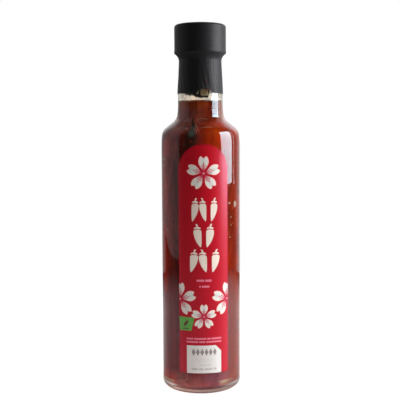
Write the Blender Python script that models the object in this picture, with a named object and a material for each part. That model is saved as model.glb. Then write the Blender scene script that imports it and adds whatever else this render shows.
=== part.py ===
"""A round glass bottle of hot sauce with a black shrink capsule and a tall arched label.

Metres, +Z up. The bottle's axis is Z, it stands on z = 0, and the label faces -Y.
Each turned piece is a profile of (radius, height) points spun round the axis.
"""

import math

import bmesh
import bpy
from mathutils import Matrix, Vector

MM = 0.001
SIDES = 64  # facets round every turned piece
SHOULDER_STEPS = 7  # facets in each half of the shoulder's curve
HEEL_STEPS = 5  # facets in each rounded corner
GAP = 0.3 * MM  # clearance between pieces that touch in the real bottle

# Glass, outer face
BODY_RADIUS = 24.5 * MM
HEEL_WIDTH = 5.5 * MM
HEEL_HEIGHT = 4.9 * MM
FOOT_INNER_RADIUS = 14.5 * MM  # the bottle stands on the flat ring outside this
PUSH_UP_RADIUS = 12.0 * MM
PUSH_UP_EDGE_HEIGHT = 1.4 * MM
PUSH_UP_HEIGHT = 2.2 * MM
SHOULDER_START = 149.4 * MM
SHOULDER_MIDDLE = (18.44 * MM, 166.3 * MM)  # where the curve turns from bulging to hollow
SHOULDER_SLOPE = 1.26  # radius lost for each unit of height there
NECK_RADIUS = 13.95 * MM
NECK_START = 182.0 * MM
# Lengths of the curve handles that shape the shoulder, from the neck down to the body
NECK_HANDLE = 12.0 * MM
HOLLOW_HANDLE = 5.0 * MM
BULGE_HANDLE = 7.4 * MM
BODY_HANDLE = 13.2 * MM

# Glass, inner face
WALL = 2.4 * MM
BORE_RADIUS = 10.6 * MM
BORE_START = 179.5 * MM
FLOOR_HEIGHT = 5.6 * MM  # top of the glass bottom, at the axis
FLOOR_EDGE_HEIGHT = 4.0 * MM
INNER_CORNER = 6.0 * MM
INNER_SHOULDER_START = 148.6 * MM
INNER_SHOULDER_MIDDLE = (16.3 * MM, 164.6 * MM)
LIP_CHAMFER = 0.6 * MM

# Sauce
SAUCE_LEVEL = 180.1 * MM

# Shrink capsule over the neck and the closed mouth
CAPSULE_WALL = 0.5 * MM
SKIRT_EDGE = 184.7 * MM
SKIRT_EDGE_RADIUS = 14.15 * MM
WAIST_HEIGHT = 205.1 * MM
WAIST_RADIUS = 13.27 * MM
FLARE_END = (16.1 * MM, 209.7 * MM)  # where the hollow under the head meets its lip
FLARE_HANDLES = ((13.45 * MM, 207.4 * MM), (14.55 * MM, 208.7 * MM))
LIP_HEIGHT = 210.4 * MM
LIP_RADIUS = 16.2 * MM
HEAD_RADIUS = 16.05 * MM
TOP_HEIGHT = 227.4 * MM
TOP_CORNER = 1.8 * MM
CROWN_THICKNESS = 3.2 * MM

# Label
LABEL_WIDTH = 31.8 * MM
LABEL_BOTTOM = 14.0 * MM
LABEL_ARCH_CENTRE = 138.0 * MM  # height where the straight sides end
LABEL_THICKNESS = 0.3 * MM
LABEL_TURN = math.radians(4.0)  # the label's middle, turned from -Y towards +X
LABEL_COLUMNS = 30

# What follows from them
FOOT_RADIUS = BODY_RADIUS - HEEL_WIDTH
INNER_RADIUS = BODY_RADIUS - WALL
CROWN_UNDERSIDE = TOP_HEIGHT - CROWN_THICKNESS
MOUTH_HEIGHT = CROWN_UNDERSIDE - GAP


def bezier(start, handle, other_handle, end, count):
    """Count points along a cubic curve, without its first point."""
    start, handle, other_handle, end = (Vector(p) for p in (start, handle, other_handle, end))
    points = []
    for i in range(1, count + 1):
        t = i / count
        u = 1 - t
        points.append(u**3 * start + 3 * u * u * t * handle + 3 * u * t * t * other_handle + t**3 * end)
    return [tuple(p) for p in points]


def quarter(centre, radii, start_angle, count):
    """Count points along a quarter of an ellipse, turning left, without its first point."""
    points = []
    for i in range(1, count + 1):
        angle = start_angle + math.pi / 2 * i / count
        points.append((centre[0] + radii[0] * math.cos(angle), centre[1] + radii[1] * math.sin(angle)))
    return points


def material(name, colour, roughness, transmission=0.0):
    made = bpy.data.materials.new(name)
    made.use_nodes = True
    shader = made.node_tree.nodes["Principled BSDF"]
    shader.inputs["Base Color"].default_value = (*colour, 1.0)
    shader.inputs["Roughness"].default_value = roughness
    shader.inputs["Transmission Weight"].default_value = transmission
    return made


def finish(name, shape, paint):
    """Make an object of a bmesh, with its faces pointing out."""
    bmesh.ops.remove_doubles(shape, verts=shape.verts, dist=0.001 * MM)
    bmesh.ops.recalc_face_normals(shape, faces=shape.faces)
    mesh = bpy.data.meshes.new(name)
    shape.to_mesh(mesh)
    shape.free()
    mesh.materials.append(paint)
    mesh.shade_smooth()
    mesh.set_sharp_from_angle(angle=math.radians(40))
    made = bpy.data.objects.new(name, mesh)
    bpy.context.scene.collection.objects.link(made)
    return made


def turned(name, profile, paint):
    """Spin a profile whose two ends lie on the axis."""
    shape = bmesh.new()
    points = [shape.verts.new((radius, 0, height)) for radius, height in profile]
    edges = [shape.edges.new(pair) for pair in zip(points, points[1:])]
    bmesh.ops.spin(
        shape, geom=points + edges, axis=(0, 0, 1), cent=(0, 0, 0), steps=SIDES, angle=math.tau
    )
    return finish(name, shape, paint)


def shoulder_down(top, middle, bottom):
    """The S-curve of a shoulder from the neck (top) to the body (bottom), each (radius, height)."""
    middle = Vector(middle)
    slope = Vector((-SHOULDER_SLOPE, 1)).normalized()
    neck_handle = (top[0], top[1] - NECK_HANDLE)
    body_handle = (bottom[0], bottom[1] + BODY_HANDLE)
    hollow = bezier(top, neck_handle, middle + HOLLOW_HANDLE * slope, middle, SHOULDER_STEPS)
    bulge = bezier(middle, middle - BULGE_HANDLE * slope, body_handle, bottom, SHOULDER_STEPS)
    return hollow + bulge


def make_glass():
    waist_inner = WAIST_RADIUS - CAPSULE_WALL - GAP
    skirt_inner = SKIRT_EDGE_RADIUS - CAPSULE_WALL - GAP
    outside = [
        (waist_inner - LIP_CHAMFER, MOUTH_HEIGHT),
        (waist_inner, MOUTH_HEIGHT - LIP_CHAMFER),
        (waist_inner, WAIST_HEIGHT),
        (skirt_inner, SKIRT_EDGE),
        (NECK_RADIUS, SKIRT_EDGE - 2 * GAP),
        (NECK_RADIUS, NECK_START),
    ]
    outside += shoulder_down(
        (NECK_RADIUS, NECK_START), SHOULDER_MIDDLE, (BODY_RADIUS, SHOULDER_START)
    )
    heel = quarter((FOOT_RADIUS, HEEL_HEIGHT), (HEEL_WIDTH, HEEL_HEIGHT), -math.pi / 2, HEEL_STEPS)
    outside += reversed(heel)
    outside.append((FOOT_RADIUS, 0))
    outside.append((FOOT_INNER_RADIUS, 0))
    outside.append((PUSH_UP_RADIUS, PUSH_UP_EDGE_HEIGHT))
    outside.append((0, PUSH_UP_HEIGHT))
    inside = inner_profile(0, MOUTH_HEIGHT)
    paint = material("clear_glass", (0.93, 0.95, 0.93), 0.03, transmission=1.0)
    return turned("bottle_glass", inside + outside, paint)


def inner_profile(clearance, top):
    """The inside of the glass from the floor's middle up to a height, pulled in by a clearance."""
    radius = INNER_RADIUS - clearance
    bore = BORE_RADIUS - clearance
    corner_height = FLOOR_EDGE_HEIGHT + clearance + INNER_CORNER
    profile = [(0, FLOOR_HEIGHT + clearance)]
    profile.append((radius - INNER_CORNER, FLOOR_EDGE_HEIGHT + clearance))
    corner = (radius - INNER_CORNER, corner_height)
    profile += quarter(corner, (INNER_CORNER, INNER_CORNER), -math.pi / 2, HEEL_STEPS)
    middle = (INNER_SHOULDER_MIDDLE[0] - clearance, INNER_SHOULDER_MIDDLE[1] - clearance)
    profile += reversed(shoulder_down((bore, BORE_START), middle, (radius, INNER_SHOULDER_START)))
    profile.append((bore, BORE_START))
    profile.append((bore, top))
    return profile


def make_sauce():
    profile = inner_profile(GAP, SAUCE_LEVEL)
    profile.append((0, SAUCE_LEVEL))
    return turned("sauce", profile, material("hot_sauce", (0.30, 0.03, 0.008), 0.15))


def make_capsule():
    inside = [
        (0, CROWN_UNDERSIDE),
        (WAIST_RADIUS - CAPSULE_WALL, CROWN_UNDERSIDE),
        (WAIST_RADIUS - CAPSULE_WALL, WAIST_HEIGHT),
        (SKIRT_EDGE_RADIUS - CAPSULE_WALL, SKIRT_EDGE),
    ]
    outside = [(SKIRT_EDGE_RADIUS, SKIRT_EDGE), (WAIST_RADIUS, WAIST_HEIGHT)]
    outside += bezier(outside[-1], *FLARE_HANDLES, FLARE_END, HEEL_STEPS)
    outside.append((LIP_RADIUS, LIP_HEIGHT))
    outside.append((HEAD_RADIUS, LIP_HEIGHT + TOP_CORNER))
    outside.append((HEAD_RADIUS, TOP_HEIGHT - TOP_CORNER))
    corner = (HEAD_RADIUS - TOP_CORNER, TOP_HEIGHT - TOP_CORNER)
    outside += quarter(corner, (TOP_CORNER, TOP_CORNER), 0, HEEL_STEPS)
    outside.append((0, TOP_HEIGHT))
    paint = material("black_capsule", (0.008, 0.008, 0.010), 0.45)
    return turned("capsule", inside + outside, paint)


def make_label():
    """A curved sheet with a round-arched top, lying GAP clear of the glass."""
    shape = bmesh.new()
    half = LABEL_WIDTH / 2
    inner = BODY_RADIUS + GAP
    columns = []
    for i in range(LABEL_COLUMNS + 1):
        across = half * math.sin(math.pi * (i / LABEL_COLUMNS - 0.5))
        top = LABEL_ARCH_CENTRE + math.sqrt(max(half * half - across * across, 0))
        angle = across / BODY_RADIUS
        corners = []
        for radius in (inner, inner + LABEL_THICKNESS):
            for height in (LABEL_BOTTOM, top):
                place = (radius * math.sin(angle), -radius * math.cos(angle), height)
                corners.append(shape.verts.new(place))
        columns.append(corners)
    for left, right in zip(columns, columns[1:]):
        for a, b in ((0, 1), (1, 3), (3, 2), (2, 0)):
            shape.faces.new((left[a], left[b], right[b], right[a]))
    for bottom_in, top_in, bottom_out, top_out in (columns[0], columns[-1]):
        shape.faces.new((bottom_in, top_in, top_out, bottom_out))
    bmesh.ops.rotate(shape, verts=shape.verts, cent=(0, 0, 0), matrix=Matrix.Rotation(LABEL_TURN, 3, "Z"))
    return finish("label", shape, material("red_label", (0.50, 0.01, 0.025), 0.4))


def main():
    for old in list(bpy.data.objects):
        bpy.data.objects.remove(old)
    make_glass()
    make_sauce()
    make_capsule()
    make_label()


main()
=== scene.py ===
"""The looks of a hot sauce bottle: clear glass, dark sauce with chilli and seeds in it, a black
shrink capsule and an arched red label. Every length is in metres and every angle in radians,
except where a comment says millimetres or degrees. A bearing is measured from the front (-Y)
towards the right (+X).

The label's print is laid out flat, as (across, height) from the label's middle line, and then
wrapped round the bottle.
"""

import math
import random

import bmesh
import bpy
from bpy.props import FloatProperty, FloatVectorProperty, IntProperty, PointerProperty
from mathutils import Matrix, Vector


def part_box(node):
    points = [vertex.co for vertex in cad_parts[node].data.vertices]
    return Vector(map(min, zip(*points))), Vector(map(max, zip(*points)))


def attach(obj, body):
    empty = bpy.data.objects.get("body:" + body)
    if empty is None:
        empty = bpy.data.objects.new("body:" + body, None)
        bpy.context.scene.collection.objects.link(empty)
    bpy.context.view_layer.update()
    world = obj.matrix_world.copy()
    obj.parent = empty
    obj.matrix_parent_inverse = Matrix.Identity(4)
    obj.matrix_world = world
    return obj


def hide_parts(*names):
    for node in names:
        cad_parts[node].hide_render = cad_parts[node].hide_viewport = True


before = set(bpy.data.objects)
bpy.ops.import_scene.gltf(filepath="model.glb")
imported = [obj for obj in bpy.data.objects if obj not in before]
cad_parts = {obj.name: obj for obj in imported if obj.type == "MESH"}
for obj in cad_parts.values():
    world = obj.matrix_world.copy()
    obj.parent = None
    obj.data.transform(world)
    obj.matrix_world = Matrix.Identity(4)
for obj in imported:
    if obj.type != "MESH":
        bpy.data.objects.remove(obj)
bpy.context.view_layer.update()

bl_info = {
    "name": "Hot Sauce Bottle",
    "version": (1, 0, 0),
    "blender": (4, 5, 0),
    "location": "3D View > Sidebar > Bottle",
    "description": "Makes a bottle of hot sauce with its capsule, label and studio",
    "category": "Add Mesh",
}

MM = 0.001
GLASS_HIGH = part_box("bottle_glass")[1]
SAUCE_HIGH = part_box("sauce")[1]
CAPSULE_LOW, CAPSULE_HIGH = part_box("capsule")
LABEL_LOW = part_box("label")[0]
TOUCHING = 0.001 * MM  # points closer than this are one
STRIP_WIDTH = 1.0 * MM  # of the strips that flat print is cut into before it is wrapped


# Settings


def length(name, description, default):
    return FloatProperty(name=name, description=description, default=default, unit="LENGTH", precision=5)


def angle(name, description, degrees):
    return FloatProperty(name=name, description=description, default=math.radians(degrees), unit="ROTATION")


def number(name, description, default):
    return FloatProperty(name=name, description=description, default=default)


def colour(name, description, default):
    return FloatVectorProperty(
        name=name, description=description, default=default, subtype="COLOR", size=3, min=0.0, max=1.0
    )


class GlassSettings(bpy.types.PropertyGroup):
    """Sizes of the glass."""

    radius: length("Body radius", "Outer radius of the straight body", GLASS_HIGH[0])
    wall: length("Wall", "Thickness of the body's wall", 2.4 * MM)
    heel_width: length("Heel width", "Horizontal size of the rounded heel", 5.5 * MM)
    heel_height: length("Heel height", "Vertical size of the rounded heel", 4.9 * MM)
    foot_inner: length("Foot, inside", "Inner radius of the ring that it stands on", 14.5 * MM)
    push_up: length("Push-up", "Height of the hollow under the base", 2.2 * MM)
    floor: length("Floor", "Height of the inside's floor at its middle", 5.6 * MM)
    floor_edge: length("Floor edge", "Height of the inside's floor at its rim", 4.0 * MM)
    corner: length("Inner corner", "Radius between the floor and the inner wall", 6.0 * MM)
    shoulder_start: length("Shoulder start", "Height where the body starts to curve in", 149.4 * MM)
    neck: length("Neck radius", "Outer radius of the neck below the capsule", 13.95 * MM)
    neck_start: length("Neck start", "Height where the shoulder's curve has become the neck", 182.0 * MM)
    bore: length("Bore", "Inner radius of the neck", 10.6 * MM)
    bore_start: length("Bore start", "Height where the inner shoulder has become the bore", 179.5 * MM)
    sides: IntProperty(name="Sides", description="Facets round the bottle", default=160, min=16)
    tint: colour("Tint", "Colour of the glass", (0.955, 0.975, 0.955))
    heel_tint: colour("Heel tint", "Colour that the sauce lends to the glass of the heel", (0.74, 0.58, 0.45))


class SauceSettings(bpy.types.PropertyGroup):
    """The sauce and what floats in it."""

    reach: length("Reach", "How far the sauce reaches into the glass", 0.15 * MM)
    level: length("Level", "Height that the bottle is filled to", SAUCE_HIGH[2])
    meniscus: length("Meniscus", "Rise of the sauce at the glass", 0.5 * MM)
    film: length("Oil film", "Thickness of the film above the sauce", 0.1 * MM)
    flecks: IntProperty(name="Flecks", description="Number of chilli flecks at the wall", default=420, min=0)
    seeds: IntProperty(name="Seeds", description="Number of scattered seeds", default=16, min=0)
    # Painted light and shade: the dark sauce is painted shade at the left, the left edge a painted glow at
    # the far left, and the bright sauce a painted glow at the right.
    dark: colour("Dark sauce", "Left of the label", (0.35, 0.052, 0.036))
    edge: colour("Left edge", "At the far left", (0.74, 0.064, 0.036))
    bright: colour("Bright sauce", "At the right", (0.38, 0.027, 0.002))
    # Painted shade: darker at the far right, where the light falls strongest.
    far_right: colour("Right edge", "At the far right", (0.33, 0.028, 0.006))
    # Painted light low at the left, and painted shade with a painted mauve reflection low at the right.
    low_left: colour("Low, left", "Low down at the left", (0.56, 0.058, 0.064))
    low_right: colour("Low, right", "Low down at the right", (0.38, 0.102, 0.115))
    # Painted light: the sauce is painted brighter and redder just above the base.
    foot_left: colour("Foot, left", "Just above the base at the far left", (1.0, 0.078, 0.038))
    foot_middle: colour("Foot, middle", "Just above the base left of the middle", (0.78, 0.19, 0.18))
    foot: colour("Foot", "Just above the base at the right", (0.49, 0.112, 0.145))
    # Painted reflection: pale beige on the sauce's corner stands for light in the glass heel.
    base: colour("Base", "At the two sides of the base's corner", (0.98, 0.69, 0.50))
    # Painted glow: light through the shoulder at the right.
    shoulder: colour("Shoulder", "At the right of the shoulder", (0.50, 0.042, 0.001))
    # Painted light and shade in the neck: lighter at the left and top left, darker at the right, with a
    # painted pale highlight along the right edge.
    neck_left: colour("Neck, left", "In the left of the neck", (0.43, 0.105, 0.078))
    neck_top: colour("Neck, top left", "In the left of the neck, just below the level", (0.60, 0.12, 0.035))
    neck_right: colour("Neck, right", "In the right of the neck", (0.19, 0.018, 0.001))
    neck_edge: colour("Neck, right edge", "Along the right edge of the neck", (0.34, 0.19, 0.165))
    shade: colour("Shade", "Of the sauce over the chilli", (0.10, 0.040, 0.028))
    skin: colour("Chilli, top", "Of the chilli's top, where it lies against the glass", (0.19, 0.16, 0.12))
    glow: colour("Glow", "Of the bright streak at the left", (0.85, 0.035, 0.008))
    oil: colour("Oil", "Of the film above the sauce", (0.94, 0.82, 0.70))


class CapsuleSettings(bpy.types.PropertyGroup):
    """Sizes of the shrink capsule."""

    edge: length("Skirt edge", "Height of the skirt's lower edge", CAPSULE_LOW[2])
    edge_radius: length("Skirt radius", "Radius of the skirt at its lower edge", 14.15 * MM)
    waist_height: length("Waist height", "Height of the narrowest place under the head", 205.1 * MM)
    waist_radius: length("Waist radius", "Radius of the narrowest place", 13.27 * MM)
    lip_height: length("Lip height", "Height of the head's lower rim", 210.4 * MM)
    lip_radius: length("Lip radius", "Radius of the head's lower rim", CAPSULE_HIGH[0])
    head_radius: length("Head radius", "Radius of the head's side", 16.05 * MM)
    top: length("Top", "Height of the flat top", CAPSULE_HIGH[2])
    corner: length("Top corner", "Radius of the top's rounded edge", 1.8 * MM)
    film: length("Film", "Thickness of the film", 0.12 * MM)
    wrinkle: length("Wrinkles", "Depth of the pleats in the skirt", 1.2 * MM)
    ragged: length("Ragged edge", "Unevenness of the skirt's lower edge", 1.6 * MM)
    notch: length("Notch", "Height of the gap torn in the skirt's edge", 2.5 * MM)
    notch_bearing: angle("Notch bearing", "Where the gap's middle is", 11.0)
    notch_reach: angle("Notch reach", "From the gap's middle to its end", 21.0)
    black: colour("Black", "Colour of the film", (0.0045, 0.0045, 0.005))


class LabelSettings(bpy.types.PropertyGroup):
    """The label's paper and the colours of its print."""

    width: length("Width", "Width of the label, measured round the glass", 31.8 * MM)
    bottom: length("Bottom", "Height of the lower edge", LABEL_LOW[2])
    arch_centre: length("Arch centre", "Height where the straight sides end", 138.0 * MM)
    lift: length("Lift", "Space between the glass and the paper", 0.03 * MM)
    paper: length("Paper", "Thickness of the paper", 0.09 * MM)
    ink: length("Ink", "How far the print stands on the paper", 0.03 * MM)
    turn: angle("Turn", "How far the label's middle is turned to the right", 4.0)
    red: colour("Red", "The label's ground", (0.41, 0.0005, 0.006))
    cream: colour("Cream", "The petals and peppers", (0.72, 0.60, 0.50))
    pink: colour("Pink", "Blush and small print", (0.66, 0.15, 0.20))
    vein: colour("Veins", "The lines on the petals", (0.52, 0.035, 0.075))
    dot: colour("Dots", "The middles of the blossoms", (0.80, 0.30, 0.32))
    panel: colour("Panel", "The panel at the foot", (0.63, 0.585, 0.535))
    taupe: colour("Taupe", "The dark print on the panel", (0.23, 0.19, 0.18))
    green: colour("Green", "The badge", (0.10, 0.33, 0.055))
    olive: colour("Olive", "The leaf on the badge", (0.11, 0.05, 0.02))


class StudioSettings(bpy.types.PropertyGroup):
    """Camera, lights and floor."""

    distance: length("Distance", "From the camera to the bottle's axis", 518.8 * MM)
    height: length("Height", "Height of the camera", 159.6 * MM)
    aside: length("Aside", "How far the camera stands to the left", 0.5 * MM)
    pitch: angle("Pitch", "How far the camera looks down", 4.54)
    roll: angle("Roll", "How far the camera leans to the right", 0.27)
    focal: number("Focal length", "In millimetres, on 36 mm", 74.2)
    floor: length("Floor", "Radius of the round floor", 420 * MM)
    floor_glow: number("Floor glow", "Light given off by the floor", 0.6)
    fill: number("Fill light", "Even light from all round", 0.17)
    key: number("Key light", "Radiance of the soft-box", 18.5)
    edge: number("Edge light", "Radiance of the narrow strip", 6.0)
    card: number("White card", "Radiance of the card at the left", 0.46)
    backdrop_top: number("Backdrop, above", "How much brighter it is above", 2.5)


SETTINGS = {
    "bottle_glass": GlassSettings,
    "bottle_sauce": SauceSettings,
    "bottle_capsule": CapsuleSettings,
    "bottle_label": LabelSettings,
    "bottle_studio": StudioSettings,
}


# Curves

SHOULDER_STEPS = 18  # in each half of the shoulder's curve
SHOULDER_SLOPE = 1.26  # radius lost for each unit of height, in the middle of the shoulder
SHOULDER_MIDDLE = (18.44 * MM, 166.3 * MM)
INNER_MIDDLE = (16.3 * MM, 164.6 * MM)
INNER_START_DROP = 0.8 * MM  # how far below the outer one the inner shoulder starts
NECK_HANDLE = 12.0 * MM
HOLLOW_HANDLE = 5.0 * MM
BULGE_HANDLE = 7.4 * MM
BODY_HANDLE = 13.2 * MM
INNER_CORNER_STEPS = 10


def even(start, end, steps):
    """Evenly spaced values from a start to an end, with both."""
    return [start + (end - start) * i / steps for i in range(steps + 1)]


def bezier(start, handle, other_handle, end, count):
    """Count points along a cubic curve, without its first point."""
    start, handle, other_handle, end = (Vector(p) for p in (start, handle, other_handle, end))
    points = []
    for t in even(0, 1, count)[1:]:
        u = 1 - t
        points.append(u**3 * start + 3 * u * u * t * handle + 3 * u * t * t * other_handle + t**3 * end)
    return [tuple(p) for p in points]


def quarter(centre, radii, start_angle, count):
    """Count points along a quarter of an ellipse, turning left, without its first point."""
    turns = even(start_angle, start_angle + math.pi / 2, count)[1:]
    return [(centre[0] + radii[0] * math.cos(turn), centre[1] + radii[1] * math.sin(turn)) for turn in turns]


def shoulder_down(top, middle, bottom):
    """The S-curve of a shoulder, from the neck (top) to the body (bottom), each (radius, height)."""
    middle = Vector(middle)
    slope = Vector((-SHOULDER_SLOPE, 1)).normalized()
    neck_handle = (top[0], top[1] - NECK_HANDLE)
    body_handle = (bottom[0], bottom[1] + BODY_HANDLE)
    hollow = bezier(top, neck_handle, middle + HOLLOW_HANDLE * slope, middle, SHOULDER_STEPS)
    bulge = bezier(middle, middle - BULGE_HANDLE * slope, body_handle, bottom, SHOULDER_STEPS)
    return hollow + bulge


def inner_profile(glass, reach):
    """The inside of the glass up to where the bore starts, moved out by a reach into the wall."""
    radius = glass.radius - glass.wall + reach
    bore_start = (glass.bore + reach, glass.bore_start)
    flat = radius - glass.corner
    corner = (flat, glass.floor_edge + glass.corner - reach)
    middle = (INNER_MIDDLE[0] + reach, INNER_MIDDLE[1] + reach)
    bottom = (radius, glass.shoulder_start - INNER_START_DROP)
    profile = [(0, glass.floor - reach), (flat, glass.floor_edge - reach)]
    profile += quarter(corner, (glass.corner, glass.corner), -math.pi / 2, INNER_CORNER_STEPS)
    profile += reversed(shoulder_down(bore_start, middle, bottom))
    return profile + [bore_start]


def at_wall(glass, reach, bearing, height):
    """A point at the sauce's side: bearing in degrees, height in millimetres."""
    height *= MM
    side = [point for point in inner_profile(glass, reach) if point[1] > glass.floor + glass.corner]
    side.append((glass.bore + reach, GLASS_HIGH[2]))
    radius = side[0][0]
    for (low_radius, low), (high_radius, high) in zip(side, side[1:]):
        if low <= height <= high:
            radius = low_radius + (height - low) / (high - low) * (high_radius - low_radius)
            break
    turn = math.radians(bearing)
    return Vector((radius * math.sin(turn), -radius * math.cos(turn), height))


def against_wall(radius, bearing, height):
    """A matrix that lays a bit, drawn on the XY plane, flat against an upright wall and facing out."""
    out = Vector((math.sin(bearing), -math.cos(bearing), 0))
    across = Vector((math.cos(bearing), math.sin(bearing), 0))
    axes_there = Matrix((across, Vector((0, 0, 1)), out)).transposed()
    return Matrix.Translation(out * radius + Vector((0, 0, height))) @ axes_there.to_4x4()


# Nodes

MIX_SOCKETS = {"FLOAT": (2, 3, 0), "RGBA": (6, 7, 2)}  # both inputs and the output of a Mix node
VALUE_OPERATIONS = ("DOT_PRODUCT", "DISTANCE", "LENGTH")


def give(tree, socket, value):
    """Link an input to an output, or set its plain value. A colour gets its alpha here."""
    if isinstance(value, bpy.types.NodeSocket):
        tree.links.new(value, socket)
    elif socket.type == "RGBA":
        socket.default_value = (*value, 1.0)
    else:
        socket.default_value = value


def connect(tree, sockets, **values):
    for label, value in values.items():
        give(tree, sockets[label.replace("_", " ")], value)


def node(tree, kind, *first, **named):
    """Add a node. The first values go to its inputs in order, those with a capital to the inputs
    of that name, and the others are its attributes."""
    made = tree.nodes.new(kind)
    for name, value in named.items():
        if not name[0].isupper():
            setattr(made, name, value)
    for socket, value in zip(made.inputs, first):
        give(tree, socket, value)
    connect(tree, made.inputs, **{name: value for name, value in named.items() if name[0].isupper()})
    return made


def result(tree, kind, *first, **named):
    """Add a node and give back its first output."""
    return node(tree, kind, *first, **named).outputs[0]


def maths(tree, operation, a, b=0.0, c=0.0, clamp=False):
    return result(tree, "ShaderNodeMath", a, b, c, operation=operation, use_clamp=clamp)


def product(tree, first, *others):
    for other in others:
        first = maths(tree, "MULTIPLY", first, other)
    return first


def whole(tree, operation, a, b):
    return result(tree, "FunctionNodeIntegerMath", a, b, operation=operation)


def vectors(tree, operation, a, b=(0.0, 0.0, 0.0)):
    made = node(tree, "ShaderNodeVectorMath", a, b, operation=operation)
    return made.outputs[1 if operation in VALUE_OPERATIONS else 0]


def scaled(tree, vector, factor):
    return result(tree, "ShaderNodeVectorMath", vector, Scale=factor, operation="SCALE")


def axes(tree, vector):
    return node(tree, "ShaderNodeSeparateXYZ", vector).outputs


def by(tree, value, start, end, low=0.0, high=1.0, kind="SMOOTHSTEP"):
    """A number that goes from low to high while a value goes from a start to an end."""
    return result(tree, "ShaderNodeMapRange", value, start, end, low, high, interpolation_type=kind)


def noise(tree, place, scale, detail=2.0, roughness=0.5, distortion=0.0, output=0):
    """Noise as a number, or with output 1 as a colour."""
    made = node(
        tree,
        "ShaderNodeTexNoise",
        Vector=place,
        Scale=scale,
        Detail=detail,
        Roughness=roughness,
        Distortion=distortion,
    )
    return made.outputs[output]


def mix(tree, factor, first, second, kind="RGBA"):
    """A blend of two colours, or with the kind FLOAT of two numbers."""
    one, other, blend = MIX_SOCKETS[kind]
    mixer = node(tree, "ShaderNodeMix", factor, data_type=kind)
    give(tree, mixer.inputs[one], first)
    give(tree, mixer.inputs[other], second)
    return mixer.outputs[blend]


def object_place(tree):
    return node(tree, "ShaderNodeTexCoord").outputs["Object"]


def stretched(tree, place, scale):
    return result(tree, "ShaderNodeMapping", Vector=place, Scale=scale)


def bump(tree, height, strength, distance):
    return result(tree, "ShaderNodeBump", Height=height, Strength=strength, Distance=distance)


def new_group(kind, name, inputs, outputs):
    """An empty Geometry or Shader group, its given values and its outputs.

    Each socket has its kind, or else a plain default that tells it.
    """
    tree = bpy.data.node_groups.new(name, kind + "NodeTree")
    for in_out, sockets in (("INPUT", inputs), ("OUTPUT", outputs)):
        for label, value in sockets.items():
            word = {int: "Int", float: "Float"}.get(type(value), value)
            socket = tree.interface.new_socket(label, in_out=in_out, socket_type="NodeSocket" + word)
            if word != value:
                socket.default_value = value
    return tree, tree.nodes.new("NodeGroupInput").outputs, tree.nodes.new("NodeGroupOutput").inputs


# Geometry node trees


def geometry_group(name, **inputs):
    """An empty geometry group. A material is its last input, and geometry its output."""
    sockets = {label.replace("_", " "): value for label, value in inputs.items()}
    sockets["Material"] = "Material"
    return new_group("Geometry", name, sockets, {"Geometry": "Geometry"})


def end_tree(tree, given, out, geometry):
    """Finish a tree: realize instances, set the material, and put the geometry out."""
    real = result(tree, "GeometryNodeRealizeInstances", geometry)
    painted = result(tree, "GeometryNodeSetMaterial", Geometry=real, Material=given["Material"])
    give(tree, out[0], painted)
    return tree


def turning_tree():
    """Turns a profile, drawn as a line of points in the XZ plane, round the Z axis."""
    tree, given, out = geometry_group("Turned Piece", Profile="Geometry", Sides=160)
    profile, sides = given["Profile"], given["Sides"]
    count = node(tree, "GeometryNodeAttributeDomainSize", profile).outputs["Point Count"]
    columns = whole(tree, "ADD", sides, 1)
    grid = result(tree, "GeometryNodeMeshGrid", Vertices_X=columns, Vertices_Y=count)
    index = result(tree, "GeometryNodeInputIndex")
    drawn = result(
        tree,
        "GeometryNodeSampleIndex",
        Geometry=profile,
        Value=result(tree, "GeometryNodeInputPosition"),
        Index=whole(tree, "MODULO", index, count),
        data_type="FLOAT_VECTOR",
        domain="POINT",
    )
    step = maths(tree, "DIVIDE", math.tau, sides)
    turn = maths(tree, "MULTIPLY", whole(tree, "DIVIDE_FLOOR", index, count), step)
    place = result(tree, "ShaderNodeVectorRotate", Vector=drawn, Angle=turn, rotation_type="Z_AXIS")
    placed = result(tree, "GeometryNodeSetPosition", Geometry=grid, Position=place)
    merged = result(tree, "GeometryNodeMergeByDistance", Geometry=placed, Distance=TOUCHING)
    return end_tree(tree, given, out, merged)


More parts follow.
